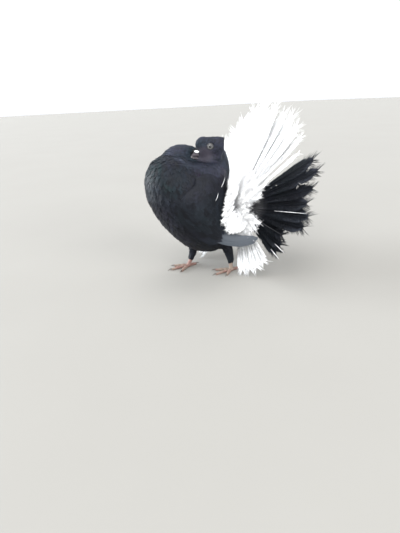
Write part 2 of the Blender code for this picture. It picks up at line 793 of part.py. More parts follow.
def main():
    black = finish("black_plumage", BLACK, 0.5)
    slate = finish("slate_wing", SLATE, 0.45)
    white = finish("white_plumage", WHITE, 0.7)
    horn = finish("bill_horn", (0.16, 0.13, 0.13, 1), 0.4)
    powder = finish("cere_powder", (0.8, 0.78, 0.76, 1), 0.85)
    iris = finish("eye", (0.45, 0.44, 0.4, 1), 0.1)
    scaled = finish("foot_skin", (0.27, 0.17, 0.14, 1), 0.6)
    claw = finish("claw_horn", (0.12, 0.11, 0.1, 1), 0.4)

    torso_grown = cutter(upright("torso_grown", TORSO, 12, 24, GAP))
    lobe_grown = cutter(upright("lobe_grown", CROP_LOBE, 7, 18, GAP, CROP_ASIDE))
    column_grown = cutter(upright("column_grown", NECK, 8, 18, GAP))
    head_grown = cutter(level("head_grown", HEAD, 11, 16, GAP))
    bill_grown = cutter(level("bill_grown", BILL_UPPER, 7, 10, GAP, 2.6))
    jaw_grown = cutter(level("jaw_grown", BILL_LOWER, 6, 10, GAP, 2.6))

    cere_grown = [cutter(cere_lobe("cere_grown", side, GAP)) for side in (-1, 1)]
    make_torso(black, [head_grown, bill_grown, jaw_grown] + cere_grown)
    make_neck(black, [torso_grown, lobe_grown, head_grown])
    sockets = [cutter(eye_ball("socket", side, GAP)) for side in (-1, 1)]
    make_head(black, sockets)
    for name, side in (("eye_left", 1), ("eye_right", -1)):
        fuse(name, [eye_ball(name, side)], iris)
    make_bill(horn, powder, head_grown)

    for side in ("left", "right"):
        make_foot(side, scaled, claw)
        make_leg(side, black, torso_grown)
    make_wing("wing_left", 1, slate, [torso_grown, lobe_grown])
    make_wing("wing_right", -1, slate, [torso_grown, lobe_grown])

    looks = {name: black if "side" in name else white for name in TAIL_PARTS}
    make_tail(looks, [torso_grown])
    around = [torso_grown, column_grown]
    make_coverts("tail_coverts_front", -1, FRONT_COVERTS, FRONT_CUSHION, white, around)
    make_coverts("tail_coverts_back", 1, BACK_COVERTS, BACK_CUSHION, white, [torso_grown])
    for thing in [t for t in bpy.data.objects if t.hide_render]:
        bpy.data.objects.remove(thing, do_unlink=True)
    stand_on_origin()


main()
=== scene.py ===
import math

import bpy
import numpy as np
from mathutils import Matrix, Vector
from mathutils.bvhtree import BVHTree


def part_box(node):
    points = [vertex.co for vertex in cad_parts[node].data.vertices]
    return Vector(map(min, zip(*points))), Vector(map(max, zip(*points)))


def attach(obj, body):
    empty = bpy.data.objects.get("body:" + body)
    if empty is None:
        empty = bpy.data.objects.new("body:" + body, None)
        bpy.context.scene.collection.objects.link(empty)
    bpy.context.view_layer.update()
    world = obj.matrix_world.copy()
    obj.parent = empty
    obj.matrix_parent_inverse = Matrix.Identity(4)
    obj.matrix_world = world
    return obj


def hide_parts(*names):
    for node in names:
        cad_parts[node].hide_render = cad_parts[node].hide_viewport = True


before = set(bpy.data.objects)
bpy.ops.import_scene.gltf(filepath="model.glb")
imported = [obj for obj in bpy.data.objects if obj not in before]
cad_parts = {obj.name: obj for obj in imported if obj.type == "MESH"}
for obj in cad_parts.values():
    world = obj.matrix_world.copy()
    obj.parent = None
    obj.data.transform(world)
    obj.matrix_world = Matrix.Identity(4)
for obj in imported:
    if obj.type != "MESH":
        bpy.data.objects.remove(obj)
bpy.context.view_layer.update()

MM = 0.001
X_AXIS, Y_AXIS, Z_AXIS = np.eye(3)
SIDES = {"left": 1, "right": -1}
# The seed of each part's random draws.
SEEDS = {
    "body": 11, "wing_left": 31, "wing_right": 32, "tail": 5, "tail_coverts_front": 41,
    "tail_coverts_back": 43, "flank_down_left": 61, "flank_down_right": 62,
}

# Head: middle between the eyes, its turn to the bird's right, and its axes ahead, left and up.
HEAD_MIDDLE = np.array((10.0, 1.2, 190.0))
HEAD_TURN = math.radians(20)
HEAD_AHEAD = np.array((-math.sin(HEAD_TURN), -math.cos(HEAD_TURN), 0))
HEAD_LEFT = np.array((math.cos(HEAD_TURN), -math.sin(HEAD_TURN), 0))
HEAD_AXES = (HEAD_AHEAD, HEAD_LEFT, Z_AXIS)
# Eyes and the bare lids round them: how far out from the head's middle they lie, their radii, and
# how far the front of an eye bulges.
EYE_OUT = 5.6
EYE_RADIUS = 4.7
EYE_BULGE = 0.35
IRIS_RADIUS = 3.3
PUPIL_RADIUS = 2.1
LID_OUT = 9.5
LID_RADIUS = 3.7
# Distance ahead of the eyes, bottom, top and half width of each ring of the bill, how square the
# rings are, and the height of the ridge.
BILL_UPPER = (
    (12, -14.8, -5.4, 4.8), (17, -14.3, -6.3, 4.2), (21, -14.1, -7.9, 3.4),
    (24.5, -14.9, -10.4, 2.4), (27.2, -17.4, -14.2, 1.1),
)
BILL_LOWER = (
    (12, -19, -15.1, 4.5), (17, -18.2, -14.6, 3.8),
    (21, -17.4, -14.4, 2.9), (24.4, -17, -15.3, 1.4),
)
BILL_SQUARE = 2.6
BILL_RIDGE = 0.35
# One lobe of the cere and one nostril: middle on the head's axes, and half sizes.
CERE = ((17.4, 2.3, -7.0), (3.8, 3.0, 2.0))
NOSTRIL = ((21.3, 3.0, -8.0), (1.5, 0.5, 0.42))

# Feathered swellings on the head's own axes: middle ahead, left and up, then their half sizes.
# They are the throat, the chin, the crop beside the bill, the brow, the cheeks down to the neck,
# and the soft step from the crop to the breast.
SWELLINGS = (
    (16, 0, -22.5, 12, 9, 6.8), (11, 0, -14, 7.5, 7, 8), (26, -11, -5.5, 11, 7.5, 8),
    (8, 0, 2, 13, 8.5, 12.5), (0, 0, -19, 13, 12.5, 8.5), (-9, 3, -17, 10, 8, 7),
    (62, 18, -12.5, 10, 9, 6), (50, 11, -13.5, 10, 9, 6), (39, 9, -15, 10, 9, 6), (29, 5, -19, 9, 8, 6),
)

# Torso: height, front, back and half width of its rings. The wing lies on it.
TORSO = (
    (31, -4, 16, 9), (36, -24, 22, 22), (46, -40, 26, 33), (60, -55, 26, 41),
    (78, -70, 26, 47), (98, -83, 27, 50), (120, -93, 30, 51), (142, -96, 33, 49),
    (157, -94, 30, 45), (167, -89, 18, 39), (173, -84, -26, 32), (181, -70, -40, 20),
)
# Wing: its lower and upper edge as distance back and height, how far out its tip lies, and how
# that grows with distance back and height.
WING_LOWER = ((-50, 141), (-66, 112), (-50, 82), (-16, 58), (18, 51), (46, 56))
WING_UPPER = ((-44, 150), (-20, 152), (-3, 127), (-3, 97), (12, 71), (45, 65))
WING_TIP_OUT = 66
WING_FLARE = (0.38, -0.30)
# The wing's core: where it ends on the way to the tip, how thick it is, how much of the height it
# takes, how far it is sunk under the coverts, and how far inside the body it starts.
WING_CORE_END = 0.56
WING_THICK = 5.5
WING_CORE_HIGH = 0.86
WING_CORE_SUNK = 1.2
WING_CORE_INSIDE = -5.0
# Rows of small coverts: place along the wing, number, reach and half width.
WING_COVERTS = (
    (0.00, 10, 0.13, 5.4), (0.03, 11, 0.13, 5.6), (0.06, 12, 0.14, 5.8), (0.09, 12, 0.15, 6.0),
    (0.12, 13, 0.16, 6.2), (0.15, 13, 0.17, 6.4), (0.185, 13, 0.18, 6.6), (0.22, 13, 0.19, 6.8),
    (0.26, 12, 0.21, 7.0), (0.30, 12, 0.23, 7.2), (0.34, 11, 0.25, 7.4), (0.385, 10, 0.26, 7.4),
)
# Primaries, and as many secondaries over them: where they start, their number and half widths.
FLIGHT_START = 0.42
FLIGHT_COUNT = 9
PRIMARY_HALF, SECONDARY_HALF = 6.8, 7.6

# Feet and legs: where they stand, and the length and turn in degrees of the toes.
FOOT = {"left": np.array((28.4, 22.7, 0.0)), "right": np.array((-28.4, -22.7, 0.0))}
HIP = {"left": np.array((20.0, 12.0, 56.0)), "right": np.array((-21.0, -14.0, 56.0))}
TOE_LENGTH = {"inner": 22, "middle": 29, "outer": 24, "hind": 16}
TOE_TURN = {"inner": 38, "middle": 3, "outer": -36, "hind": 176}
TOE_RADIUS = 2.7
# A claw starts inside the end of its toe, and passes it by the gap in the solids and its length.
CLAW_ROOT = 1.2
CLAW_GAP = 0.3
CLAW_LENGTH = 6.5
SHANK_RADIUS = 2.9
SHANK_LOW, SHANK_HIGH = 2.5, 19.0
PAD_SIZES = (4.6, 4.8, -2.6)
# Heights between which the legs are feathered.
STOCKING_FOOT = 9.5
LEG_TOP = 58
# Scutes above and pads beneath: how far apart they are and how high.
SCUTE_STEP, SCUTE_HIGH = 1.9, 0.26
PAD_STEP, PAD_HIGH = 5.2, 0.22

# Tail: the point its feathers spread from, the lean of the fan, each feather's place in degrees
# from the middle, and the reach and backward sweep of the fan by degrees. The sweep sets in over
# the distance of the bow. Shafts end short of the reach, because barbs pass their ends.
TAIL_ROOT = np.array((0.0, 54.0, 90.0))
TAIL_LEAN = math.radians(27)
FEATHER_PLACES = (0, 8.5, 17, 25.5, 33.5, 44.5, 55.5, 62, 68.5, 77.5, 83.5, 89.5,
                  99, 105.5, 112, 121, 130, 139, 148)
FEATHER_ROLL = math.radians(7)
FAN_REACH = (
    (-148, 108), (-121, 114), (-112, 119), (-99, 119), (-89, 152), (-62, 160), (-45, 151),
    (-33.5, 156), (-22, 170), (-12, 180), (0, 173), (5, 167), (17, 164), (25.5, 158),
    (33.5, 150), (44.5, 141), (55.5, 156), (62, 161), (68.5, 155), (77.5, 147), (83.5, 153),
    (89.5, 154), (99, 117), (105.5, 122), (112, 119), (121, 114), (130, 117), (139, 113), (148, 108),
)
FAN_SWEEP = ((0, 0), (85, 0.02), (104, 0.2), (122, 0.27), (152, 0.14))
FAN_BOW = 80
TIP_BACK = 7.5
# A tail feather's stalk opens by this share of its distance from the root, up to a half width.
# The vane is at its full half width from another distance.
STALK_OPEN = 0.065
STALK_HALF = 3
RECTRIX_FULL = 108
WHITE_HALF = 15.2
BLACK_HALF = 12.8
# The first and the last black feather, counted from the middle.
FIRST_BLACK, LAST_BLACK = 6, 14
# Feathers of the left side that stand otherwise: their degrees and half width.
ODD_FEATHERS = {
    4: (33, 9.5), 5: (42.5, 5.5), 6: (52.5, 14), 7: (60.5, 13),
    15: (126, 10.5), 16: (132.5, 12), 17: (139.5, 12.5), 18: (147, 13),
}
# Long thin white feathers among the black ones and beside the nape: degrees and where each
# starts and ends, how far short of that its shaft ends, how far back of the others it lies, and
# its half width.
SLIVERS = (
    (82.6, 88, 151), (107.5, 106, 133), (113, 104, 130), (-44, 110, 164), (-82.6, 88, 150), (-112, 104, 130),
)
SLIVER_SHORT = 4
SLIVER_BACK = -1.9
THIN_HALF = 0.5
# White feather tips between the black feathers of the back: start and end.
BACK_TIPS = (
    ((38, 9, 147.5), (46.8, -4.5, 135.5)), ((55.5, -14.5, 131.5), (58.8, -21, 122.5)),
)
# A small black feather caught in the white ones: start, end and half width.
DARK_TIP = ((52, 39, 93), (55.5, 49.5, 95.5), 1.2)

# Coverts in front of the tail's root and behind it: the way they face, their number, and for the
# lowest and the highest the spread in degrees, reach, height at start and end, and half width.
COVERTS = {
    "front": (-1, 170, (146, 70, 4, 8, 9), (128, 50, 19, 31, 8)),
    "back": (1, 90, (112, 68, 3, 6, 9.5), (88, 46, 8, 12, 9)),
}
# The flesh they grow from: half width, half height and depth.
ROOT_CUSHIONS = {"front": (23, 21, 30), "back": (23, 21, 10)}
# The front edge of the white down over the wings: height and distance back.
FLANK_DOWN = ((70, 5), (75, 0), (83, -4), (90, -9), (98, -8), (108, -4), (118, 0), (130, 5), (142, 11))
FLANK_COUNT = 84

# The skin under the coat and the skin of the feet: voxel size and rounds of smoothing.
SKIN_NODES = ("torso", "neck", "head", "leg_left", "leg_right")
SKIN_MELT = (1.3, 20)
FOOT_MELT = (0.42, 4)
# The coat: how deep it is, how long its feathers are by distance from the bill, how long those of
# the legs are at the floor and by height, how wide feathers are for their length, and how high
# their roots and tips lie. Roots stand apart by a share of the length.
COAT = 1.5
FEATHER_LENGTH = ((0, 2.6), (10, 3.4), (22, 4.8), (34, 6.5), (50, 9.5), (75, 13), (110, 16.5), (170, 19))
LEG_FEATHER = (5.5, 0.10)
FEATHER_WIDTH = 0.6
FEATHER_LIFT = (0.1, 1.15)
HEAD_APART, BODY_APART = 0.30, 0.27
DOWN = np.array((0.0, 0.45, -0.89))
# Where the regions of the coat start and end: distance from the bill, height, distance back.
HEAD_TO, HEAD_LOW = 44, 150
NECK_FROM, NECK_TO, NECK_LOW = 43, 82, 120
BODY_FROM, BREAST_TO, BREAST_LOW, BACK_FROM = 81, -28, 26, -29
# Thickness of feathers and shafts, and how far above the floor they stay.
THICK = {"coat": 0.12, "wing": 0.25, "wing_shaft": 0.2, "web": 0.16, "shaft": 0.8}
FLOOR_CLEAR = 0.4
# The bake map: the patch of one shape, the millimetres that the fan and the wing are laid out over,
# and where the wing starts.
TUFT_PATCH = 0.003
FAN_MAP = 400
WING_MAP = (260, 240)
WING_MAP_START = (0.5, 0.1)

# The viewpoint: place, direction and tilt of the view, the lens, and how near it sees in metres.
VIEW_PLACE = np.array((547.6, -332.8, 250.0))
VIEW_TURN = math.radians(60)
VIEW_DOWN = math.radians(21)
VIEW_TILT = math.radians(2.7)
VIEW_LENS = 29.1
VIEW_NEAR = 0.02
# Lights: where each comes from, its power and its colour.
LIGHTS = {
    "key": ((0.9, -1.3, 1.7), 2.3, (1, 1, 1)), "fill": ((1.7, 0.3, 0.7), 2.1, (1, 1, 1)),
    "top": ((-0.5, 0.3, 2.0), 1.1, (1, 1, 1)), "side": ((-1.3, -1.4, 0.2), 9.0, (0.90, 0.95, 1)),
}
LIGHT_ANGLE = math.radians(40)
ROOM_LIGHT = ((0.92, 0.95, 1.0, 1), 1.14)
FLOOR_SIZE = 40


def head_point(*spot):
    """Points given ahead, left and up from the middle of the head, along its own turned axes."""
    ahead, left, up = (np.asarray(part, float)[..., None] for part in spot)
    return HEAD_MIDDLE + HEAD_AHEAD * ahead + HEAD_LEFT * left + Z_AXIS * up


def box_middle(node):
    """The middle of a solid's box in the row frame, in metres."""
    low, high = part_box(node)
    return (np.array(low) + np.array(high)) / 2


# Where the floor point between the feet lies in the row frame, read from the eyes' solids.
ORIGIN = (box_middle("eye_left") + box_middle("eye_right")) / 2 - HEAD_MIDDLE * MM
# Where the feathers of the coat start from, and the places where none grow, with their radii.
BILL_ROOT = head_point(15, 0, -9)
BARE_SPOTS = (
    (head_point(0, 10, 0), LID_RADIUS + 0.9), (head_point(0, -10, 0), LID_RADIUS + 0.9),
    (head_point(19.5, 0, -8), 6.8),
)
# Paler patches on black feathers: place, the metres between which they fade, colour.
# The face patch is painted light: a paler spot on the left cheek only.
FACE_PAINTED_LIGHT = (head_point(9, 7, -11), 0.006, 0.017, (0.052, 0.046, 0.060))
TAIL_PATCH = (TAIL_ROOT, 0.040, 0.070, (0.13, 0.13, 0.135))
BILL_TIP = head_point(27, 0, -16)


def unit(vectors):
    """Vectors made one long."""
    return vectors / np.maximum(np.linalg.norm(vectors, axis=-1, keepdims=True), 1e-9)


def scaled(vectors, amounts):
    """Vectors times amounts, one amount for each vector."""
    return vectors * amounts[..., None]


def late(share, start):
    """0 up to a start, then evenly to 1 at the end."""
    return np.clip(share - start, 0, 1) / (1 - start)


def smooth_rows(rows, t):
    """Points of the smooth curve through the rows, at each t from 0 at the first to 1 at the last."""
    rows = np.asarray(rows, float)
    spot = np.clip(t, 0, 1) * (len(rows) - 1)
    i = np.minimum(spot.astype(int), len(rows) - 2)
    f = (spot - i)[..., None]
    a, b, c, d = (rows[np.clip(i + k, 0, len(rows) - 1)] for k in (-1, 0, 1, 2))
    return b + 0.5 * f * ((c - a) + f * ((2 * a - 5 * b + 4 * c - d) + f * (3 * (b - c) + d - a)))


def table(rows, x):
    """The value at each x of a table of (x, value) rows."""
    return np.interp(x, [row[0] for row in rows], [row[1] for row in rows])


# Shader helpers


class Value:
    """A socket of a finish, so that sums on it are written as sums."""

    def __init__(self, finish, socket):
        self.finish = finish
        self.socket = socket

    def _math(self, operation, first, second):
        return self.finish.node("ShaderNodeMath", {"operation": operation}, {0: first, 1: second})

    def __add__(self, other):
        return self._math("ADD", self, other)

    def __sub__(self, other):
        return self._math("SUBTRACT", self, other)

    def __rsub__(self, other):
        return self._math("SUBTRACT", other, self)

    def __mul__(self, other):
        return self._math("MULTIPLY", self, other)

    __radd__ = __add__
    __rmul__ = __mul__


class Finish:
    """The nodes of one material."""

    def __init__(self, name):
        self.material = bpy.data.materials.new(name)
        self.material.use_nodes = True
        self.tree = self.material.node_tree

    def node(self, kind, settings, values, out=0):
        """A node with its settings made first, then its sockets' values or links; gives an output."""
        made = self.tree.nodes.new(kind)
        for key, value in settings.items():
            if key == "stops":
                self.set_stops(made.color_ramp, value)
            else:
                setattr(made, key, value)
        self.fill(made, values)
        return Value(self, made.outputs[out])

    def set_stops(self, ramp, stops):
        """The stops of a ramp, each its place and colour."""
        for place, _ in stops[2:]:
            ramp.elements.new(place)
        for element, (place, colour) in zip(ramp.elements, stops):
            element.position = place
            element.color = (*colour, 1)

    def fill(self, made, values):
        for key, value in values.items():
            if isinstance(value, Value):
                self.tree.links.new(value.socket, made.inputs[key])
            else:
                made.inputs[key].default_value = value

    def place(self):
        return self.node("ShaderNodeTexCoord", {}, {}, out=3)

    def attribute(self, name):
        return self.node("ShaderNodeAttribute", {"attribute_name": name}, {}, out=2)

    def vane(self):
        """Across and along the feather, each from 0 to 1."""
        both = self.node("ShaderNodeUVMap", {"uv_map": "vane"}, {})
        across = self.node("ShaderNodeSeparateXYZ", {}, {0: both})
        return across, Value(self, across.socket.node.outputs[1])

    def noise(self, scale, detail=3.0):
        """Soft clouds over the whole bird, 0 to 1."""
        values = {"Vector": self.place(), "Scale": scale, "Detail": detail, "Roughness": 0.55}
        return self.node("ShaderNodeTexNoise", {}, values)

    def ramp(self, factor, *stops):
        """Colours by a factor."""
        return self.node("ShaderNodeValToRGB", {"stops": stops}, {0: factor})

    def blend(self, factor, first, second):
        """Mix of two colours, each a colour or a socket."""
        pair = {0: factor}
        for key, colour in ((6, first), (7, second)):
            pair[key] = colour if isinstance(colour, Value) else (*colour, 1)
        return self.node("ShaderNodeMix", {"data_type": "RGBA"}, pair, out=2)

    def clamp(self, value, low, high):
        """0 below low, 1 above high, smooth between."""
        values = {"Value": value, "From Min": low, "From Max": high}
        return self.node("ShaderNodeMapRange", {"interpolation_type": "SMOOTHSTEP"}, values)

    def near(self, spot, low, high, shift=0.0):
        """1 nearer to a spot than low metres, 0 farther than high. Shift is added to the distance."""
        ends = {0: self.place(), 1: spot * MM + ORIGIN}
        away = self.node("ShaderNodeVectorMath", {"operation": "DISTANCE"}, ends, out=1)
        return 1 - self.clamp(away + shift, low, high)

    def barb_lines(self, across, along, count):
        """Fine slanting lines like barbs, 0 to 1."""
        away = self.node("ShaderNodeMath", {"operation": "ABSOLUTE"}, {0: across - 0.5})
        phase = (along * count - away * (count * 0.5)) * (2 * math.pi)
        return self.node("ShaderNodeMath", {"operation": "SINE"}, {0: phase}) * 0.5 + 0.5

    def bump(self, height, strength, depth):
        values = {"Height": height, "Strength": strength, "Distance": depth}
        return self.node("ShaderNodeBump", {}, values)

    def wear(self, colour, roughness, **others):
        """Connects what varies and sets what is the same everywhere, and gives the material."""
        values = {"Base Color": colour, "Roughness": roughness}
        values.update({key.replace("_", " "): value for key, value in others.items()})
        self.fill(self.tree.nodes["Principled BSDF"], values)
        return self.material


# Meshes made from arrays


def put_points(mesh, points):
    """Moves the points of a mesh to places in millimetres."""
    mesh.vertices.foreach_set("co", (points * MM + ORIGIN).astype(np.float32).ravel())


def read_mesh(mesh):
    """The points of a mesh in millimetres, and its triangles."""
    points = np.empty(len(mesh.vertices) * 3, np.float32)
    mesh.vertices.foreach_get("co", points)
    mesh.calc_loop_triangles()
    corners = np.empty(len(mesh.loop_triangles) * 3, np.int32)
    mesh.loop_triangles.foreach_get("vertices", corners)
    return (points.reshape(-1, 3) - ORIGIN) / MM, corners.reshape(-1, 3)


def mesh_object(name, points, faces):
    """An object from points in millimetres and faces whose last index is -1 on a triangle."""
    mesh = bpy.data.meshes.new(name)
    sizes = np.where(faces[:, 3] < 0, 3, 4)
    corners = faces[faces >= 0]
    mesh.vertices.add(len(points))
    put_points(mesh, points)
    mesh.loops.add(len(corners))
    mesh.loops.foreach_set("vertex_index", corners.astype(np.int32))
    mesh.polygons.add(len(faces))
    mesh.polygons.foreach_set("loop_start", (np.cumsum(sizes) - sizes).astype(np.int32))
    mesh.update(calc_edges=True)
    thing = bpy.data.objects.new(name, mesh)
    bpy.context.scene.collection.objects.link(thing)
    return thing


def dress(thing, look, slot, *nodes, sharp=None):
    """Gives a piece its look. It rides on the bird and stands for solids, which it hides; its slot is not
    used.
    """
    mesh = thing.data
    mesh.shade_smooth()
    if sharp is not None:
        mesh.set_sharp_from_angle(angle=math.radians(sharp))
    mesh.materials.clear()
    mesh.materials.append(look)
    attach(thing, "root")
    if nodes:
        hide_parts(*nodes)
    return thing


def join(blocks):
    """The points and faces of several (points, faces) blocks as one."""
    starts = np.cumsum([0] + [len(points) for points, _ in blocks])
    faces = [np.where(part < 0, -1, part + start) for (_, part), start in zip(blocks, starts)]
    return np.concatenate([points for points, _ in blocks]), np.concatenate(faces)


def melt(thing, voxel, rounds):
    """Makes one closed mesh of shapes that overlap, and softens it by rounds of smoothing."""
    voxels = thing.modifiers.new("Voxels", "REMESH")
    voxels.mode = "VOXEL"
    voxels.voxel_size = voxel * MM
    soften = thing.modifiers.new("Soften", "SMOOTH")
    soften.iterations = rounds
    graph = bpy.context.evaluated_depsgraph_get()
    mesh = bpy.data.meshes.new_from_object(thing.evaluated_get(graph))
    thing.modifiers.clear()
    thing.data = mesh


def ball(middle, axes, sizes, rings, turns, first, last=None, folds=None):
    """Rings of a ball with its own axes and half sizes, from one angle off its last axis to another.
    Folds gives a factor on its width by the angle and the turn."""
    lat = np.linspace(first, math.pi - first if last is None else last, rings)[:, None]
    lon = np.linspace(0, 2 * math.pi, turns, endpoint=False)
    flat = np.sin(lat) if folds is None else np.sin(lat) * folds(lat, lon)
    parts = (flat * np.cos(lon), flat * np.sin(lon), np.cos(lat))
    return middle + sum(scaled(axis, size * part) for axis, size, part in zip(axes, sizes, parts))


def capped(rings):
    """The points of rings (r, k, 3), then the middles of the first and the last."""
    return np.concatenate([rings.reshape(-1, 3), rings[:1].mean(1), rings[-1:].mean(1)])


def loft_faces(rings, turns):
    """Faces of a closed loft: rings of points, then the two end points."""
    index = np.arange(rings * turns).reshape(rings, turns)
    after = np.roll(index, -1, 1)
    walls = np.stack([index[:-1], after[:-1], after[1:], index[1:]], -1).reshape(-1, 4)
    ends = rings * turns
    start = np.stack([after[0], index[0], np.full(turns, ends), np.full(turns, -1)], -1)
    stop = np.stack([index[-1], after[-1], np.full(turns, ends + 1), np.full(turns, -1)], -1)
    return np.concatenate([walls, start, stop])


def closed_loft(name, rings, look, slot, *nodes):
    """A smooth closed mesh over rings (r, k, 3)."""
    points = capped(rings)
    faces = loft_faces(*rings.shape[:2])
    a, b, c = points[faces[0, :3]]
    if (np.cross(b - a, c - b) * (a - points.mean(0))).sum() < 0:
        faces = np.where(faces[:, 3:] < 0, faces[:, [2, 1, 0, 3]], faces[:, ::-1])
    return dress(mesh_object(name, points, faces), look, slot, *nodes, sharp=60)


def slab_faces(rows, columns):
    """Faces of a closed slab: an upper grid of rows by columns, then the lower grid."""
    upper = np.arange(rows * columns).reshape(rows, columns)
    lower = upper + rows * columns
    top = np.stack([upper[:-1, :-1], upper[:-1, 1:], upper[1:, 1:], upper[1:, :-1]], -1).reshape(-1, 4)
    under = np.stack([lower[:-1, :-1], lower[1:, :-1], lower[1:, 1:], lower[:-1, 1:]], -1).reshape(-1, 4)
    rim = np.concatenate([upper[0, :-1], upper[:-1, -1], upper[-1, :0:-1], upper[:0:-1, 0]])
    after = np.roll(rim, -1)
    sides = np.stack([after, rim, rim + rows * columns, after + rows * columns], -1)
    return np.concatenate([top, under, sides])


def grid_map(rows, columns):
    """The vane map of a slab: across from 0 to 1, then along from 0 to 1."""
    across, along = np.meshgrid(np.linspace(0, 1, columns), np.linspace(0, 1, rows))
    return np.tile(np.stack([across, along], -1).reshape(-1, 2), (2, 1))


# A barb: a tapered blade of triangular section, three rings and a point.
BARB_RINGS = 3
BARB_THICK = 0.14
BARB_FACES = np.array(
    [(3 * r + k, 3 * r + (k + 1) % 3, 3 * r + 3 + (k + 1) % 3, 3 * r + 3 + k)
     for r in range(BARB_RINGS - 1) for k in range(3)]
    + [(3 * BARB_RINGS - 3 + k, 3 * BARB_RINGS - 3 + (k + 1) % 3, 3 * BARB_RINGS, -1) for k in range(3)]
    + [(2, 1, 0, -1)]
)
BARB_MAP = np.array([(x, r / BARB_RINGS) for r in range(BARB_RINGS) for x in (0, 1, 0.5)] + [(0.5, 1)])


class Gather:
    """Closed shapes gathered into one mesh. Each has a patch on the bake map, a vane map and a tint."""

    def __init__(self, unwrap):
        self.unwrap = unwrap
        self.parts = []
        self.size = 0

    def add(self, points, faces, vane, roots, tint):
        """Adds many shapes alike: points (n, k, 3), faces (f, 4) with a last index of -1 for a triangle,
        vane (k, 2), roots (n, 3) and tint (n)."""
        count, each = points.shape[:2]
        vane = np.broadcast_to(vane, (count, each, 2))
        bake = self.unwrap(roots)[:, None] + TUFT_PATCH * (vane - 0.5)
        starts = self.size + np.arange(count)[:, None, None] * each
        gathered = np.where(faces < 0, -1, faces + starts).reshape(-1, 4)
        self.parts.append((
            points.reshape(-1, 3), gathered, bake.reshape(-1, 2), vane.reshape(-1, 2), np.repeat(tint, each),
        ))
        self.size += count * each

    def slabs(self, upper, out, thick, roots, tint, spine=False):
        """Adds thin slabs with upper grids (n, rows, columns, 3). A spine is mapped on the vane's middle."""
        count, rows, columns = upper.shape[:3]
        points = np.stack([upper, upper - out * thick], 1).reshape(count, -1, 3)
        vane = grid_map(rows, columns)
        if spine:
            vane[:, 0] = 0.5
        self.add(points, slab_faces(rows, columns), vane, roots, tint)

    def barbs(self, start, way, bend, out, length, width, tint):
        """Adds blades from start along way, bent by a vector at their tips, flat side facing out."""
        start, way, bend, out = (part.reshape(-1, 3) for part in (start, way, bend, out))
        width = np.broadcast_to(width, length.shape).reshape(-1, 1)
        length = length.reshape(-1, 1)
        rings = []
        for t in np.arange(BARB_RINGS) / BARB_RINGS:
            middle = start + way * (length * t) + bend * t * t
            side = unit(np.cross(unit(way * length + 2 * bend * t), out))
            taper = (1 - 0.62 * t) * width / 2
            rings.extend([middle - side * taper, middle + side * taper])
            rings.append(middle + out * BARB_THICK * (1 - 0.5 * t))
        rings.append(start + way * length + bend)
        self.add(np.stack(rings, 1), BARB_FACES, BARB_MAP, start, tint)

    def make(self, name, look, slot, *nodes, sharp=None):
        """The piece, with its maps and tint."""
        points, faces, bake, vane, tint = (np.concatenate(part) for part in zip(*self.parts))
        points[:, 2] = np.maximum(points[:, 2], FLOOR_CLEAR)
        thing = mesh_object(name, points, faces)
        mesh = thing.data
        corners = faces[faces >= 0]
        for map_name, flat in (("OFBake", bake), ("vane", vane)):
            layer = mesh.uv_layers.new(name=map_name)
            layer.uv.foreach_set("vector", flat[corners].astype(np.float32).ravel())
        mesh.attributes.new("tint", "FLOAT", "POINT").data.foreach_set("value", tint.astype(np.float32))
        return dress(thing, look, slot, *nodes, sharp=sharp)


# Where a piece's shapes lie on the bake map


def round_unwrap(x, y, low, high):
    """An unwrap round an upright line, turn across and height up between two heights."""

    def unwrap(points):
        turn = np.arctan2(points[:, 0] - x, y - points[:, 1]) / (2 * math.pi) + 0.5
        height = np.clip((points[:, 2] - low) / (high - low), 0, 1)
        return 0.02 + 0.96 * np.stack([turn, height], 1)

    return unwrap


body_unwrap = round_unwrap(0, -20, 0, 215)
head_unwrap = round_unwrap(*HEAD_MIDDLE[:2], 120, 210)


def fan_unwrap(points):
    """The fan's own plane, laid flat."""
    off = points - TAIL_ROOT
    up = off[:, 1] * math.sin(TAIL_LEAN) + off[:, 2] * math.cos(TAIL_LEAN)
    return 0.5 + np.stack([off[:, 0], up], 1) / FAN_MAP


def wing_unwrap(points):
    """The wing's side of the body, laid flat: distance back and height."""
    return np.array(WING_MAP_START) + points[:, 1:] / WING_MAP


# The skin and the feathers laid on it


class Surface:
    """A mesh in millimetres that feathers are laid on."""

    def __init__(self, thing):
        self.points, self.faces = read_mesh(thing.data)
        a, b, c = (self.points[self.faces[:, k]] for k in range(3))
        cross = np.cross(b - a, c - a)
        self.area = np.linalg.norm(cross, axis=1) / 2
        normals = np.zeros_like(self.points)
        for k in range(3):
            np.add.at(normals, self.faces[:, k], cross)
        self.normals = unit(normals)
        self.tree = BVHTree.FromPolygons(self.points.tolist(), self.faces.tolist(), all_triangles=True)
        self.face_normals = unit(self.normals[self.faces].mean(1))

    def nearest(self, spots):
        """The nearest point of the surface to each spot, and the soft normal there."""
        found = [self.tree.find_nearest(spot) for spot in spots.reshape(-1, 3).tolist()]
        places = np.array([hit[0] for hit in found])
        index = np.array([hit[2] for hit in found])
        return places.reshape(spots.shape), self.face_normals[index].reshape(spots.shape)


def make_skin(look):
    """One closed skin over torso, neck, head and thighs, lying inside the solids by the coat's depth."""
    blocks = [read_mesh(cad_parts[name].data) for name in SKIN_NODES]
    rings, turns = 10, 20
    walls = loft_faces(rings, turns)
    walls = np.concatenate([walls[:, (0, 1, 2)], walls[walls[:, 3] >= 0][:, (0, 2, 3)]])
    for row in SWELLINGS:
        blocks.append((capped(ball(head_point(*row[:3]), HEAD_AXES, row[3:], rings, turns, 0.1)), walls))
    points, faces = join(blocks)
    thing = mesh_object("skin", points, np.pad(faces, ((0, 0), (0, 1)), constant_values=-1))
    melt(thing, *SKIN_MELT)
    surface = Surface(thing)
    put_points(thing.data, surface.points - surface.normals * COAT)
    dress(thing, look, "black_plumage", *SKIN_NODES)
    return Surface(thing)


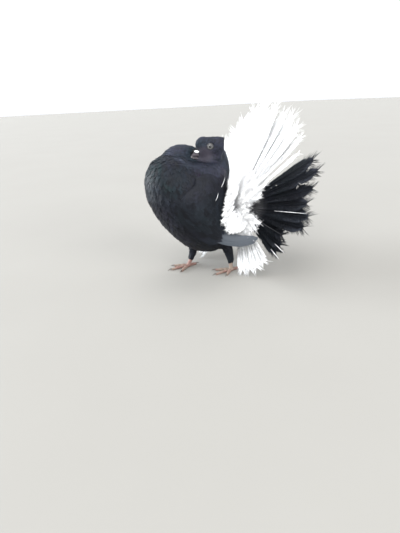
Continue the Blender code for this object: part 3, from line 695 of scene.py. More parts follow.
def from_bill(points):
    """How far each point is from the root of the bill."""
    return np.linalg.norm(points - BILL_ROOT, axis=-1)


def leg_share(points):
    """1 on the legs, 0 on the body."""
    return np.clip((LEG_TOP - points[:, 2]) / 12, 0, 1)


def feather_length(points):
    """The length of the feathers that grow at each point."""
    low = leg_share(points)
    start, growth = LEG_FEATHER
    on_leg = start + growth * np.clip(points[:, 2], 0, LEG_TOP)
    return table(FEATHER_LENGTH, from_bill(points)) * (1 - low) + on_leg * low


def feathered(points):
    """Whether feathers grow at each point: not on the eyes, at the bill or on the feet."""
    keep = points[:, 2] >= STOCKING_FOOT
    for middle, radius in BARE_SPOTS:
        keep = keep & (np.linalg.norm(points - middle, axis=1) >= radius)
    return keep


def lie(points, normals):
    """The direction feathers lie in: away from the bill, then down and back to the tail."""
    far = np.clip((from_bill(points) - 30) / 70, 0, 1)[:, None]
    low = leg_share(points)[:, None]
    way = unit(points - BILL_ROOT) * (1 - far) + DOWN * far * 1.3
    way = way * (1 - low) - Z_AXIS * 1.2 * low
    return unit(way - normals * (way * normals).sum(1, keepdims=True))


def scatter(surface, region, apart, count, draw):
    """Roots spread over a region of the skin, apart by a share of the feathers' length there."""
    middles = surface.points[surface.faces].mean(1)
    inside = feathered(middles) & region(from_bill(middles), *middles.T[1:])
    share = surface.area / (feather_length(middles) * apart) ** 2 * inside
    chosen = draw.choice(len(share), size=count, p=share / share.sum())
    a, b = draw.random((2, count))
    flip = a + b > 1
    a, b = np.where(flip, 1 - a, a), np.where(flip, 1 - b, b)
    corner, second, third = surface.points[surface.faces[chosen]].transpose(1, 0, 2)
    spots = corner + scaled(second - corner, a) + scaled(third - corner, b)
    limits = (feather_length(spots) * apart) ** 2
    kept, rows = np.empty((count, 3)), []
    for k in range(count):
        size = len(rows)
        if size == 0 or ((kept[:size] - spots[k]) ** 2).sum(1).min() > limits[k]:
            kept[size] = spots[k]
            rows.append(k)
    return spots[rows], surface.face_normals[chosen[rows]]


def lay_feathers(gather, surface, roots, normals, rows, columns, draw):
    """Body feathers laid on the skin from their roots, each a thin curved slab with a ragged tip."""
    count = len(roots)
    length = feather_length(roots) * draw.uniform(0.86, 1.16, count)
    way = lie(roots, normals)
    side = np.cross(way, normals)
    twist = draw.normal(0, 0.13, count)[:, None]
    way, side = unit(way + side * twist), unit(side - way * twist)
    half = length * FEATHER_WIDTH * draw.uniform(0.9, 1.1, count) / 2
    length, half = length[:, None, None], half[:, None, None]
    t, u = np.linspace(0, 1, rows)[:, None], np.linspace(-1, 1, columns)
    ragged = draw.uniform(-0.05, 0.03, (count, 1, columns)) * t ** 3
    width = np.clip(np.sin(math.pi * (0.12 + 0.86 * t ** 0.9)), 0, 1) ** 0.62
    flat = (roots[:, None, None] + scaled(way[:, None, None], (t * (1 - 0.10 * u ** 2) + ragged) * length)
            + scaled(side[:, None, None], u * width * half))
    places, out = surface.nearest(flat)
    low, high = FEATHER_LIFT
    height = (low + (high - low) * t ** 1.3) * draw.uniform(0.75, 1.3, count)[:, None, None]
    height = (height + 0.05 * half * (1 - u ** 2) * t ** 0.5) * np.clip(length / 9, 0.45, 1.15)
    gather.slabs(places + scaled(out, height), out, THICK["coat"], roots, draw.random(count))


def make_body_feathers(surface, painted_light_head_black, lustrous, black):
    """Feathers over the whole skin, in pieces by region. A region goes by the distance from the
    bill, the distance back and the height."""
    draw = np.random.default_rng(SEEDS["body"])

    def on_head(far, y, z):
        return (far < HEAD_TO) & (z > HEAD_LOW)

    def on_neck(far, y, z):
        return (far >= NECK_FROM) & (far < NECK_TO) & (z > NECK_LOW)

    def on_breast(far, y, z):
        return ((far >= BODY_FROM) | (z <= NECK_LOW)) & (y < BREAST_TO) & (z > BREAST_LOW)

    def on_back(far, y, z):
        return ((far >= BODY_FROM) | (z <= NECK_LOW)) & (y >= BACK_FROM)

    for name, region, apart, count, unwrap, rows, columns, look in (
        # Head feathers wear a paler copy of the black: painted light on the head.
        ("head_feathers", on_head, HEAD_APART, 26000, head_unwrap, 5, 3, painted_light_head_black),
        ("neck_feathers", on_neck, BODY_APART, 14000, body_unwrap, 6, 5, lustrous),
        ("breast_feathers", on_breast, BODY_APART, 16000, body_unwrap, 6, 5, black),
        ("back_and_leg_feathers", on_back, BODY_APART, 16000, body_unwrap, 6, 5, black),
    ):
        roots, normals = scatter(surface, region, apart, count, draw)
        gather = Gather(unwrap)
        lay_feathers(gather, surface, roots, normals, rows, columns, draw)
        gather.make(name, look, "black_plumage", sharp=50)


# Wings


TORSO_STEPS = smooth_rows(TORSO, np.linspace(0, 1, 160))


def wing_out(y, z):
    """How far out the folded wing lies at a distance back and a height."""
    front, back, half = (np.interp(z, TORSO_STEPS[:, 0], TORSO_STEPS[:, k]) for k in (1, 2, 3))
    inside = np.clip(1 - ((y - (front + back) / 2) / ((back - front) / 2)) ** 2, 0, 1)
    body = half * np.sqrt(inside)
    tip_y, tip_z = WING_LOWER[-1]
    flare = WING_TIP_OUT + WING_FLARE[0] * (y - tip_y) + WING_FLARE[1] * (z - tip_z)
    return (body + flare + np.sqrt((body - flare) ** 2 + 60)) / 2


def wing_spot(side, s, v, lift):
    """Points of the wing, s from bend to tip, v from the lower edge at -1 to the upper at 1."""
    s, v = np.broadcast_arrays(s, v)
    low, high = smooth_rows(WING_LOWER, s), smooth_rows(WING_UPPER, s)
    y, z = np.moveaxis(low + scaled(high - low, (v + 1) / 2), -1, 0)
    return np.stack([side * (wing_out(y, z) + lift), y, z], -1)


def core_height(s, v):
    """How far the wing's core stands off the side of the body."""
    s = np.minimum(s, WING_CORE_END)
    taper = 1 - 0.6 * (s / WING_CORE_END) ** 2
    return WING_THICK * taper * (1 - np.abs(v) ** 3) * np.minimum(1, 0.4 + 4 * s)


def triples(*values):
    """The (n, 3) rows of three values, each an array or one number."""
    return np.stack(np.broadcast_arrays(*values), 1).astype(float)


def wing_feathers(gather, side, start, end, half, rows, columns, draw, blunt, camber):
    """Vanes with shafts laid on the wing. Start and end are (n, 3) rows of s, v and lift."""
    count = len(start)
    t, u = np.linspace(0, 1, rows), np.linspace(-1, 1, columns)
    s, v, lift = np.moveaxis(start[:, None] + (end - start)[:, None] * t[:, None], -1, 0)
    middle = wing_spot(side, s, v, lift)
    way = unit(np.gradient(middle, axis=1))
    over = wing_spot(side, s, v + 0.03, lift) - wing_spot(side, s, v - 0.03, lift)
    out = unit(np.cross(way, over))
    out = out * np.sign(out[..., :1] * side)
    across = np.cross(way, out)
    round_off = np.clip(1 - np.clip(t - blunt, 0, 1) ** 2 / (1.02 - blunt) ** 2, 0, 1) ** 0.5
    width = (half * np.minimum(1, 0.4 + 2.5 * t) * round_off)[:, None]
    ragged = draw.uniform(-0.02, 0.015, (count, 1, columns)) * t[:, None] ** 4
    length = np.linalg.norm(middle[:, -1] - middle[:, 0], axis=1)[:, None, None]
    roots = middle[:, 0]
    middle, way, across, out = (part[:, :, None] for part in (middle, way, across, out))
    upper = (middle + scaled(across, u * width) + scaled(out, camber * width * (1 - u ** 2))
             + scaled(way, (ragged - 0.05 * u ** 2 * t[:, None] ** 6) * length))
    gather.slabs(upper, out, THICK["wing"], roots, draw.random(count))
    u = np.array((-1, 0, 1))
    ridge = (middle + scaled(across, u * (0.05 * half * (1.1 - 0.8 * t))[:, None])
             + scaled(out, camber * width + 0.22 * (1 - np.abs(u)) - 0.05))
    ridge, out = ridge[:, :-1], out[:, :-1]
    gather.slabs(ridge, out, THICK["wing_shaft"], roots, draw.random(count), spine=True)


def make_wing(name, side, dark, grey):
    """Core, coverts and secondaries of one wing in black, and its slate primaries."""
    draw = np.random.default_rng(SEEDS[name])
    rows, columns = 14, 15
    s = WING_CORE_END * np.linspace(0.02, 1, rows)[:, None]
    v = np.linspace(-WING_CORE_HIGH, WING_CORE_HIGH, columns)
    upper = wing_spot(side, s, v, core_height(s, v) - WING_CORE_SUNK)
    lower = wing_spot(side, s, v * WING_CORE_HIGH, WING_CORE_INSIDE)
    core = np.stack([upper, lower]).reshape(1, -1, 3)
    coverts = Gather(wing_unwrap)
    coverts.add(core, slab_faces(rows, columns)[:, ::side], grid_map(rows, columns), core[:, 0], [0.2])
    for place, count, reach, half in WING_COVERTS:
        v = np.linspace(-0.97, 0.97, count) + draw.uniform(-0.05, 0.05, count)
        s = place + draw.uniform(-0.012, 0.012, count)
        start = triples(s, v * 0.96, core_height(s, v * 0.96) - 1.4)
        s = place + reach * draw.uniform(0.88, 1.12, count)
        v = v + draw.uniform(-0.05, 0.05, count)
        end = triples(s, v, core_height(s, v) * 0.94 + 0.9 + draw.uniform(-0.3, 0.5, count))
        wing_feathers(coverts, side, start, end, half, 7, 7, draw, 0.45, 0.10)
    order = np.arange(FLIGHT_COUNT)
    v = -0.5 + 0.165 * order
    start = triples(FLIGHT_START, v * 0.8, core_height(FLIGHT_START, v) - 1.6)
    end = triples(0.60 + 0.014 * order, v + 0.03, 1.6 + 0.5 * order)
    wing_feathers(coverts, side, start, end, SECONDARY_HALF, 12, 9, draw, 0.6, 0.12)
    coverts.make(name + "_coverts", dark, "black_plumage", sharp=50)

    flight = Gather(wing_unwrap)
    start = triples(FLIGHT_START, -0.62 + 0.055 * order, 1.0)
    end = triples(1.0 - 0.03 * order, -0.58 + 0.125 * order, 1.0 - 0.45 * order)
    wing_feathers(flight, side, start, end, PRIMARY_HALF, 18, 9, draw, 0.84, 0.10)
    flight.make(name + "_flight_feathers", grey, "wing_plumage", name, sharp=50)


# Tail


def fan_axes(degrees):
    """The direction of tail feathers, the sideways direction, and the back of the fan."""
    up = np.array((0, math.sin(TAIL_LEAN), math.cos(TAIL_LEAN)))
    back = np.array((0, math.cos(TAIL_LEAN), -math.sin(TAIL_LEAN)))
    c, s = np.cos(np.radians(degrees))[..., None], np.sin(np.radians(degrees))[..., None]
    return up * c + X_AXIS * s, X_AXIS * c - up * s, back


def fan_bow(degrees, r):
    """How far back of the fan's plane its feathers bow at a distance from the root."""
    return table(FAN_SWEEP, np.abs(degrees)) * FAN_BOW * (1 - np.exp(-r / FAN_BOW)) * np.minimum(1, r / 60)


def tail_lines(degrees, reach, behind, curl, each, first=12.0):
    """The lines of tail feathers, and the distance of their points from the root. Behind is how far
    back of the others each lies, and curl how far back its tip bends. Lines are (4, n, k, 3): the
    middle lines of n feathers, and the directions along and across them and out of the vane."""
    share = np.linspace(0, 1, each)
    r = first + (reach - first)[:, None] * share
    way, side, back = fan_axes(degrees)
    roll = FEATHER_ROLL * np.sign(degrees)[:, None]
    turned = side * np.cos(roll) - back * np.sin(roll)
    facing = unit(back * np.cos(roll) + side * np.sin(roll))
    bow = fan_bow(degrees[:, None], r) + curl[:, None] * share ** 2 + behind[:, None]
    middle = TAIL_ROOT + scaled(way[:, None], r) + scaled(back, bow)
    along = unit(np.gradient(middle, axis=1))
    return np.stack(np.broadcast_arrays(middle, along, turned[:, None], facing[:, None])), r


def lines_facing(middle, facing):
    """The lines of feathers along middle lines, with out turned towards facing."""
    along = unit(np.gradient(middle, axis=1))
    out = unit(facing - along * (along * facing).sum(-1, keepdims=True))
    return np.stack([middle, along, np.cross(along, out), out])


def fringe(gather, lines, half, width, draw, angles=(56, 32), wild=0.1, clump=7):
    """Barbs on both sides of shafts. Half (n, k) is how far out they reach."""
    middle, way, side, out = lines
    count, each = half.shape
    share = np.linspace(0, 1, each)
    loose = share ** 2
    slant = np.radians(angles[0] + (angles[1] - angles[0]) * share ** 5)
    for hand in (-1, 1):
        lean = slant + draw.normal(0, 0.035, half.shape)
        length = half / np.maximum(np.sin(lean), 0.72) * draw.uniform(0.93, 1.05, half.shape)
        ahead = scaled(way, np.cos(lean)) + scaled(side * hand, np.sin(lean))
        group = (np.arange(each) + draw.integers(0, clump, (count, 1))) % clump
        pull = (clump / 2 - group - 0.5) / clump
        step = np.linalg.norm(middle[:, 1] - middle[:, 0], axis=-1)[:, None] * clump
        bend = (scaled(way, 0.10 * length + pull * step * (0.3 + 0.45 * loose))
                + scaled(out, draw.normal(0, wild, half.shape) * length * (0.25 + loose))
                + scaled(side, hand * draw.normal(0, wild * 0.5, half.shape) * length * loose))
        tint = np.repeat(draw.random(count), each) * 0.6 + draw.random(count * each) * 0.4
        gather.barbs(middle, ahead, bend, out, length, width, tint)


def webs(gather, lines, half, rows, columns, draw):
    """The close part of each vane, a thin slab whose edges are wavy and split here and there."""
    pick = np.linspace(0, half.shape[1] - 1, rows).astype(int)
    middle, way, side, out = lines[:, :, pick, None]
    u = np.linspace(-1, 1, columns)
    shape = (len(middle), 2, rows)
    width = half[:, None, pick] * draw.uniform(0.93, 1.0, shape)
    width = np.where(draw.random(shape) < 0.05, width * draw.uniform(0.45, 0.8, shape), width)
    width = np.where(u < 0, width[:, 0, :, None], width[:, 1, :, None])
    phase = draw.uniform(0, 6, (len(middle), 1, 1))
    wave = 0.05 * np.sin(np.linspace(0, 9, rows)[:, None] + phase) * np.abs(u)
    upper = (middle + scaled(side, u * width) + scaled(way, 0.35 * np.abs(u) * width)
             + scaled(out, (wave + 0.07 * (1 - u ** 2)) * width))
    gather.slabs(upper, out, THICK["web"], lines[0, :, 0], draw.random(len(middle)))


def wisps(gather, lines, half, count, draw):
    """Loose curled barbs at the ends of feathers, each leaving its shaft near the tip."""
    feathers, each = half.shape
    shape = (feathers, count)
    row = np.arange(feathers)[:, None]
    pick = draw.integers(int(each * 0.72), each, shape)
    middle, way, side, out = lines[:, row, pick]
    hand = draw.choice((-1, 1), shape)
    lean = np.radians(draw.uniform(18, 48, shape))
    ahead = scaled(way, np.cos(lean)) + scaled(side, hand * np.sin(lean))
    length = draw.uniform(8, 15, shape)
    bend = scaled(side, draw.normal(0, 0.2, shape) * length)
    bend = bend + scaled(out, draw.normal(0, 0.16, shape) * length)
    start = middle + scaled(ahead, half[row, pick] * 0.4)
    gather.barbs(start, ahead, bend, out, length, 0.8, draw.random(feathers * count))


def shafts(gather, lines, half, draw):
    """Tapered shafts along middle lines."""
    middle, _, side, out = lines[:, :, :, None]
    u = np.array((-1, 0, 1))
    upper = middle + scaled(side, u * half[:, None]) + scaled(out, (1 - np.abs(u)) * half[:, None])
    gather.slabs(upper, out, THICK["shaft"], lines[0, :, 0], draw.random(len(middle)), spine=True)


def tail_half(r, share, full):
    """The half width of tail feathers at a distance from the root, with the width they grow to."""
    stalk = np.minimum(STALK_OPEN * r, STALK_HALF)
    half = np.maximum(stalk, full * np.minimum(1, (r / RECTRIX_FULL) ** 1.25))
    return half * (1 - 0.2 * late(share, 0.86))


def make_tail(white, black):
    """The long feathers of the fan, white in the middle and below, black at both sides."""
    draw = np.random.default_rng(SEEDS["tail"])
    last = len(FEATHER_PLACES) - 1
    numbers = np.arange(-last, last + 1)
    place = np.abs(numbers)
    degrees = np.sign(numbers) * np.array(FEATHER_PLACES)[place]
    reach = table(FAN_REACH, degrees) - TIP_BACK + draw.uniform(-3, 1.5, len(numbers))
    degrees = degrees + draw.uniform(-0.8, 0.8, len(numbers))
    is_black = (place >= FIRST_BLACK) & (place <= LAST_BLACK)
    full = np.where(is_black, BLACK_HALF, WHITE_HALF)
    for number, (angle, width) in ODD_FEATHERS.items():
        degrees[number + last], full[number + last] = angle, width
    each, bare = 112, 10
    share = np.linspace(0, 1, each)
    thin = np.linspace(0, each - 1, 14).astype(int)
    for name, chosen, look, slot, nodes, loose in (
        ("tail_white_upper", place < FIRST_BLACK, white, "white_plumage", ["tail_middle"], 7),
        ("tail_black", is_black, black, "black_plumage", ["tail_side_left", "tail_side_right"], 12),
        ("tail_white_lower", place > LAST_BLACK, white, "white_plumage",
         ["tail_lower_left", "tail_lower_right"], 7),
    ):
        gather = Gather(fan_unwrap)
        count = chosen.sum()
        behind = np.where(numbers[chosen] == 0, -0.9, 0.0) + draw.uniform(-0.4, 0.4, count)
        curl = draw.uniform(-0.5, 2.5, count)
        lines, r = tail_lines(degrees[chosen], reach[chosen], behind, curl, each)
        half = tail_half(r, share, full[chosen][:, None])
        fringe(gather, lines[:, :, bare:], half[:, bare:], 2.0 - 1.1 * share[bare:] ** 2, draw)
        webs(gather, lines, half * (0.84 - 0.5 * late(share, 0.9)), 34, 7, draw)
        wisps(gather, lines, half, loose, draw)
        shafts(gather, lines[:, :, thin], 1.1 - 0.95 * share[thin], draw)
        gather.make(name, look, slot, *nodes)
    make_slivers(white, black, draw)


def make_slivers(white, black, draw):
    """Thin white feathers in the black part of the fan and on the back, and one dark one."""
    pale = Gather(fan_unwrap)
    each = 60
    share = np.linspace(0, 1, each)
    half = (THIN_HALF * np.sin(math.pi * (0.06 + 0.84 * share)))[None]
    for degrees, start, end in np.array(SLIVERS)[..., None]:
        back = np.full(1, SLIVER_BACK)
        lines, _ = tail_lines(degrees, end - SLIVER_SHORT, back, draw.uniform(-1, 1, 1), each, start)
        fringe(pale, lines, half, 0.6 - 0.25 * share, draw, (34, 18), 0.3, 5)
        webs(pale, lines, half * 0.6, 20, 3, draw)
    for start, end in BACK_TIPS:
        tuft(pale, start, end, THIN_HALF, draw)
    pale.make("thin_white_feathers", white, "white_plumage")
    dark = Gather(fan_unwrap)
    tuft(dark, *DARK_TIP, draw)
    dark.make("stray_black_feather", black, "black_plumage")


def tuft(gather, start, end, half, draw):
    """One short loose feather from start to end, bowed to the left."""
    share = np.linspace(0, 1, 24)
    start, end = np.array(start, float), np.array(end, float)
    middle = start + scaled(end - start, share) + scaled(X_AXIS, 1.2 * np.sin(math.pi * share))
    lines = lines_facing(middle[None], X_AXIS)
    width = (half * np.sin(math.pi * (0.04 + 0.9 * share)))[None]
    fringe(gather, lines, width, 0.6, draw, (34, 20), 0.2, 4)
    webs(gather, lines, width * 0.7, 10, 3, draw)


def down_half(half, share, narrowing):
    """The half width of soft feathers, which grow to half and narrow by a share at their ends."""
    return half[:, None] * np.minimum(1, 0.35 + 1.6 * share) * (1 - narrowing * late(share, 0.7))


def make_coverts(place, look):
    """The cushion of soft feathers in front of the fan's root, or the smaller one behind it."""
    name = "tail_coverts_" + place
    draw = np.random.default_rng(SEEDS[name])
    facing, count, low, high = COVERTS[place]
    p = draw.random(count) ** 0.85
    spread, reach, start, stop, half = np.array(low)[:, None] + np.subtract(high, low)[:, None] * p
    degrees = spread * draw.uniform(-1, 1, count)
    reach = reach * draw.uniform(0.84, 1.1, count) - 3
    share = np.linspace(0, 1, 26)
    way, side, back = fan_axes(degrees)
    root = 6 + 8 * draw.random(count)
    r = root[:, None] + (reach - root)[:, None] * share
    height = start[:, None] + (stop - start)[:, None] * np.sin(share * math.pi / 2)
    height = height + draw.uniform(-1.2, 1.2, count)[:, None]
    sway = draw.normal(0, 0.13, count)[:, None] * r * share
    middle = (TAIL_ROOT + scaled(way[:, None], r) + scaled(side[:, None], sway)
              + scaled(back, height * facing + fan_bow(degrees[:, None], r)))
    lines = lines_facing(middle, back * facing)
    width = down_half(half, share, 0.45)
    gather = Gather(fan_unwrap)
    bare = 3
    fringe(gather, lines[:, :, bare:], width[:, bare:], 1.7 - 0.9 * share[bare:], draw, (56, 28), 0.2, 5)
    webs(gather, lines, width * (0.7 - 0.4 * late(share, 0.7)), 10, 5, draw)
    gather.make(name + "_down", look, "white_plumage", name)


def make_root_cushion(place, look):
    """The white flesh and down that the coverts grow from, a half ball."""
    way, side, back = fan_axes(np.array(0.0))
    facing = back * COVERTS[place][0]
    middle = TAIL_ROOT + facing * 0.5
    rings = ball(middle, (side, way, facing), ROOT_CUSHIONS[place], 12, 36, math.pi / 2, math.pi / 50)
    closed_loft("tail_root_" + place, rings, look, "white_plumage")


def make_flank_down(name, side, look):
    """White down that spills from the root of the tail over the back edge of a wing."""
    draw = np.random.default_rng(SEEDS[name])
    share = np.linspace(0, 1, 22)
    z = draw.uniform(FLANK_DOWN[0][0], FLANK_DOWN[-1][0], FLANK_COUNT)
    y = table(FLANK_DOWN, z) + draw.uniform(0, 9, FLANK_COUNT)
    y = y[:, None] + 24 * (1 - share) + draw.uniform(-2, 2, FLANK_COUNT)[:, None] * share
    z = z[:, None] + 7 * (1 - share ** 1.6)
    lift = -6 + 13.5 * np.sin(math.pi * np.minimum(0.62 * share + 0.02, 0.5)) - share ** 3
    lift = lift + draw.uniform(-0.5, 1.5, FLANK_COUNT)[:, None]
    lines = lines_facing(np.stack([side * (wing_out(y, z) + lift), y, z], -1), side * X_AXIS)
    width = down_half(draw.uniform(4.5, 6.5, FLANK_COUNT), share, 0.5)
    gather = Gather(wing_unwrap)
    fringe(gather, lines, width, 1.5 - 0.8 * share, draw, (54, 28), 0.2, 5)
    webs(gather, lines, width * 0.62, 10, 5, draw)
    gather.make(name, look, "white_plumage")


# Finishes


# Blacks: deep, middle and light, the edges of feathers, and the green, blue and purple sheen.
BLACKS = np.array((
    (0.0035, 0.0042, 0.0062), (0.0068, 0.0082, 0.0120), (0.014, 0.017, 0.024), (0.022, 0.026, 0.035),
    (0.006, 0.020, 0.018), (0.008, 0.011, 0.020), (0.019, 0.009, 0.023),
))


def black_plumage(name, lustre, pale, patch=None, streaks=0.0):
    """Blue-black feathers; lustre is how strongly green and purple show, and pale how light they are; on the
    head a high pale is painted light.
    A patch is paler: painted light on the face, grey near the tail's root. Streaks is how strongly single
    barbs are grey."""
    f = Finish(name)
    across, along = f.vane()
    tint = f.attribute("tint")
    cloud = f.noise(38.0, 4.0)
    deep, middle, light, edge, green, blue, purple = BLACKS * pale
    base = f.ramp(cloud * 0.6 + tint * 0.4, (0.25, deep), (0.6, middle), (0.85, light))
    base = f.blend(f.clamp(along, 0.8, 1.0) * 0.3, base, edge)
    gloss = f.ramp(f.noise(16.0, 2.0), (0.38, green), (0.5, blue), (0.64, purple))
    base = f.blend(tint * lustre, base, gloss)
    lines = f.barb_lines(across, along, 22.0)
    if patch is not None:
        spot, low, high, colour = patch
        # A paler patch round a spot; on the face it is painted light.
        base = f.blend(f.near(spot, low, high, (cloud - 0.5) * low) * 0.8, base, colour)
    if streaks:
        base = f.blend(f.clamp(tint, 0.9, 0.97) * streaks, base, (0.16, 0.16, 0.16))
    rough = 0.45 + 0.14 * tint + 0.06 * lines
    return f.wear(base, rough, Normal=f.bump(lines, 0.35, 0.00012), Specular_IOR_Level=0.16)


def slate_plumage(name):
    """Slate-grey flight feathers, darker at the base and along the shaft."""
    f = Finish(name)
    across, along = f.vane()
    tint = f.attribute("tint")
    base = f.ramp(along * 0.85 + f.noise(60.0) * 0.15, (0.2, (0.010, 0.012, 0.016)),
                  (0.36, (0.046, 0.056, 0.069)), (0.9, (0.066, 0.077, 0.092)))
    base = f.blend(tint * 0.25, base, (0.035, 0.042, 0.052))
    lines = f.barb_lines(across, along, 60.0)
    return f.wear(base, 0.45 + 0.1 * tint, Normal=f.bump(lines, 0.3, 0.0001), Specular_IOR_Level=0.35)


def white_plumage(name):
    """Silky white feathers, faintly grey in their depth and cream at some tips."""
    f = Finish(name)
    cloud = f.noise(30.0, 4.0)
    base = f.ramp(f.attribute("tint") * 0.5 + cloud * 0.5, (0.2, (0.88, 0.89, 0.90)),
                  (0.5, (0.945, 0.945, 0.945)), (0.8, (0.975, 0.97, 0.96)))
    lines = f.barb_lines(*f.vane(), 40.0)
    base = f.blend(lines * 0.1, base, (0.72, 0.73, 0.74))
    normal = f.bump(lines, 0.3, 0.0001)
    return f.wear(base, 0.6 + 0.1 * cloud, Normal=normal, Sheen_Weight=0.2, Sheen_Roughness=0.5)


def horn(name, pale, deep, rough, tip=None):
    """Streaked horn, paler towards a tip."""
    f = Finish(name)
    cloud = f.noise(240.0, 4.0)
    base = f.blend(cloud * 0.5 + f.noise(70.0, 2.0) * 0.5, deep, pale)
    if tip is not None:
        base = f.blend(f.near(tip, 0.001, 0.0055) * 0.8, base, (0.40, 0.38, 0.38))
    return f.wear(base, rough + 0.12 * cloud, Normal=f.bump(f.noise(500.0), 0.25, 0.0001))


def mottled(name, scale, first, second, rough, varied, grain, relief):
    """Two colours in soft clouds, with a grain (scale and detail) in relief (strength and depth)."""
    f = Finish(name)
    cloud = f.noise(scale)
    base = f.blend(cloud, first, second)
    return f.wear(base, rough + varied * cloud, Normal=f.bump(f.noise(*grain), *relief))


def powder(name):
    """Powdery white skin."""
    f = Finish(name)
    grain = f.noise(1500.0, 4.0)
    base = f.blend(f.noise(320.0), (0.82, 0.81, 0.80), (0.95, 0.945, 0.94))
    return f.wear(base, 0.85 + 0.05 * grain, Normal=f.bump(grain, 0.5, 0.0002))


def foot_look(name):
    """Dull red skin with grime and fine cracks."""
    f = Finish(name)
    cloud = f.noise(160.0, 4.0)
    grime = f.clamp(f.noise(60.0), 0.45, 0.62)
    base = f.blend(cloud, (0.17, 0.085, 0.07), (0.30, 0.18, 0.15))
    base = f.blend(grime * 0.55, base, (0.21, 0.20, 0.15))
    cells = {"Vector": f.place(), "Scale": 750.0}
    cracks = f.clamp(f.node("ShaderNodeTexVoronoi", {"feature": "DISTANCE_TO_EDGE"}, cells), 0.0, 0.12)
    return f.wear(base, 0.55 + 0.15 * cloud, Normal=f.bump(cracks, 0.4, 0.00025))


def eye_look(name):
    """Pale grey iris with fine spokes round a dark pupil."""
    f = Finish(name)
    ring = f.attribute("ring")
    spokes = f.noise(900.0, 4.0)
    colour = f.blend(spokes, (0.13, 0.13, 0.13), (0.28, 0.28, 0.275))
    colour = f.blend(f.clamp(ring, IRIS_RADIUS - 0.5, IRIS_RADIUS + 0.1), colour, (0.05, 0.045, 0.04))
    pupil = 1 - f.clamp(ring, PUPIL_RADIUS - 0.12, PUPIL_RADIUS + 0.12)
    colour = f.blend(pupil, colour, (0.004, 0.004, 0.005))
    return f.wear(colour, 0.3 + 0.05 * spokes, Coat_Weight=0.35, Coat_Roughness=0.06)


# Head details


def make_eye(name, side, look):
    """A ball turned out of the head, with a clear bulge in front and rings round its own axis."""
    axis = side * HEAD_LEFT
    middle = head_point(0, side * EYE_OUT, 0)
    count, first = 44, 0.02
    rings = ball(middle, (-side * HEAD_AHEAD, Z_AXIS, axis), [EYE_RADIUS] * 3, count, 48, first)
    lat = np.linspace(first, math.pi - first, count)
    rings = rings + scaled(axis, EYE_BULGE * np.exp(-(lat / 0.55) ** 2))[:, None]
    thing = closed_loft(name, rings, look, "eye", name)
    spots = capped(rings) - middle
    ring = np.linalg.norm(spots - scaled(axis, spots @ axis), axis=1)
    thing.data.attributes.new("ring", "FLOAT", "POINT").data.foreach_set("value", ring.astype(np.float32))


def make_lid(name, side, look):
    """The bare ring of skin round the eye, wrinkled by small folds."""
    turns, around = 72, 14
    a = np.linspace(0, 2 * math.pi, turns, endpoint=False)
    b = np.linspace(0, 2 * math.pi, around, endpoint=False)
    radius = LID_RADIUS * (1 + 0.03 * np.cos(2 * a))
    out = side * (LID_OUT + 0.05 - 0.35 * np.abs(np.sin(a)))
    centre = head_point(radius * np.cos(a), out, radius * np.sin(a) * 0.94)
    outward = unit(centre - head_point(0, side * LID_OUT, 0))
    thick = (0.72 + 0.07 * np.sin(19 * a) + 0.05 * np.sin(7 * a + 1))[:, None]
    ring = (centre[:, None] + scaled(outward[:, None], np.cos(b) * thick * 1.15)
            + scaled(side * HEAD_LEFT, np.sin(b) * thick * 0.85))
    index = np.arange(turns * around).reshape(turns, around)
    right = np.roll(index, -1, 1)
    faces = np.stack([index, right, np.roll(right, -1, 0), np.roll(index, -1, 0)], -1).reshape(-1, 4)
    dress(mesh_object(name, ring.reshape(-1, 3), faces[:, ::side]), look, "cere_powder")


def bill_rings(rows, rings, sides, ridge):
    """Upright rings along the bill, with a ridge along its top."""
    turn = np.linspace(0, 2 * math.pi, sides, endpoint=False)
    c, s = np.cos(turn), np.sin(turn)
    size = (np.abs(c) ** BILL_SQUARE + np.abs(s) ** BILL_SQUARE) ** (-1 / BILL_SQUARE)
    ahead, low, high, half = smooth_rows(rows, np.linspace(0, 1, rings)).T[..., None]
    up = (low + high) / 2 + (high - low) / 2 * s * size + ridge * np.clip(s, 0, 1) ** 8
    return head_point(ahead, half * c * size, up)


def cere_folds(lat, lon):
    """The wrinkles of the cere, as a factor on its width."""
    return 1 + 0.05 * np.sin(5 * lon + 3 * lat) + 0.03 * np.sin(11 * lon - 7 * lat)


def make_bill(look, cere_look, dark):
    """Both halves of the bill, the two lobes of the cere, and the nostrils."""
    closed_loft("bill_top", bill_rings(BILL_UPPER, 26, 36, BILL_RIDGE), look, "bill_horn", "bill_upper")
    closed_loft("bill_bottom", bill_rings(BILL_LOWER, 22, 32, 0.0), look, "bill_horn", "bill_lower")
    for hand, side in SIDES.items():
        (ahead, left, up), sizes = CERE
        lobe = ball(head_point(ahead, side * left, up), HEAD_AXES, sizes, 26, 36, 0.03, folds=cere_folds)
        closed_loft("cere_" + hand, lobe, cere_look, "cere_powder", *(["cere"] if side > 0 else []))
        (ahead, left, up), sizes = NOSTRIL
        slit = ball(head_point(ahead, side * left, up), HEAD_AXES, sizes, 26, 36, 0.03)
        closed_loft("nostril_" + hand, slit[::2], dark, "bill_horn")


# Feet


def toe_line(hand, toe):
    """Start, direction and length of a toe."""
    turn = math.radians(TOE_TURN[toe]) * SIDES[hand]
    return FOOT[hand], np.array((math.sin(turn), -math.cos(turn), 0)), TOE_LENGTH[toe]


def leg_path(hand, height):
    """The middle of the leg at each height, on a slight bend from the foot to the hip."""
    t = height[:, None] / HIP[hand][2]
    return FOOT[hand] + (HIP[hand] - FOOT[hand]) * t + 5 * Y_AXIS * np.sin(math.pi * np.minimum(t, 1))


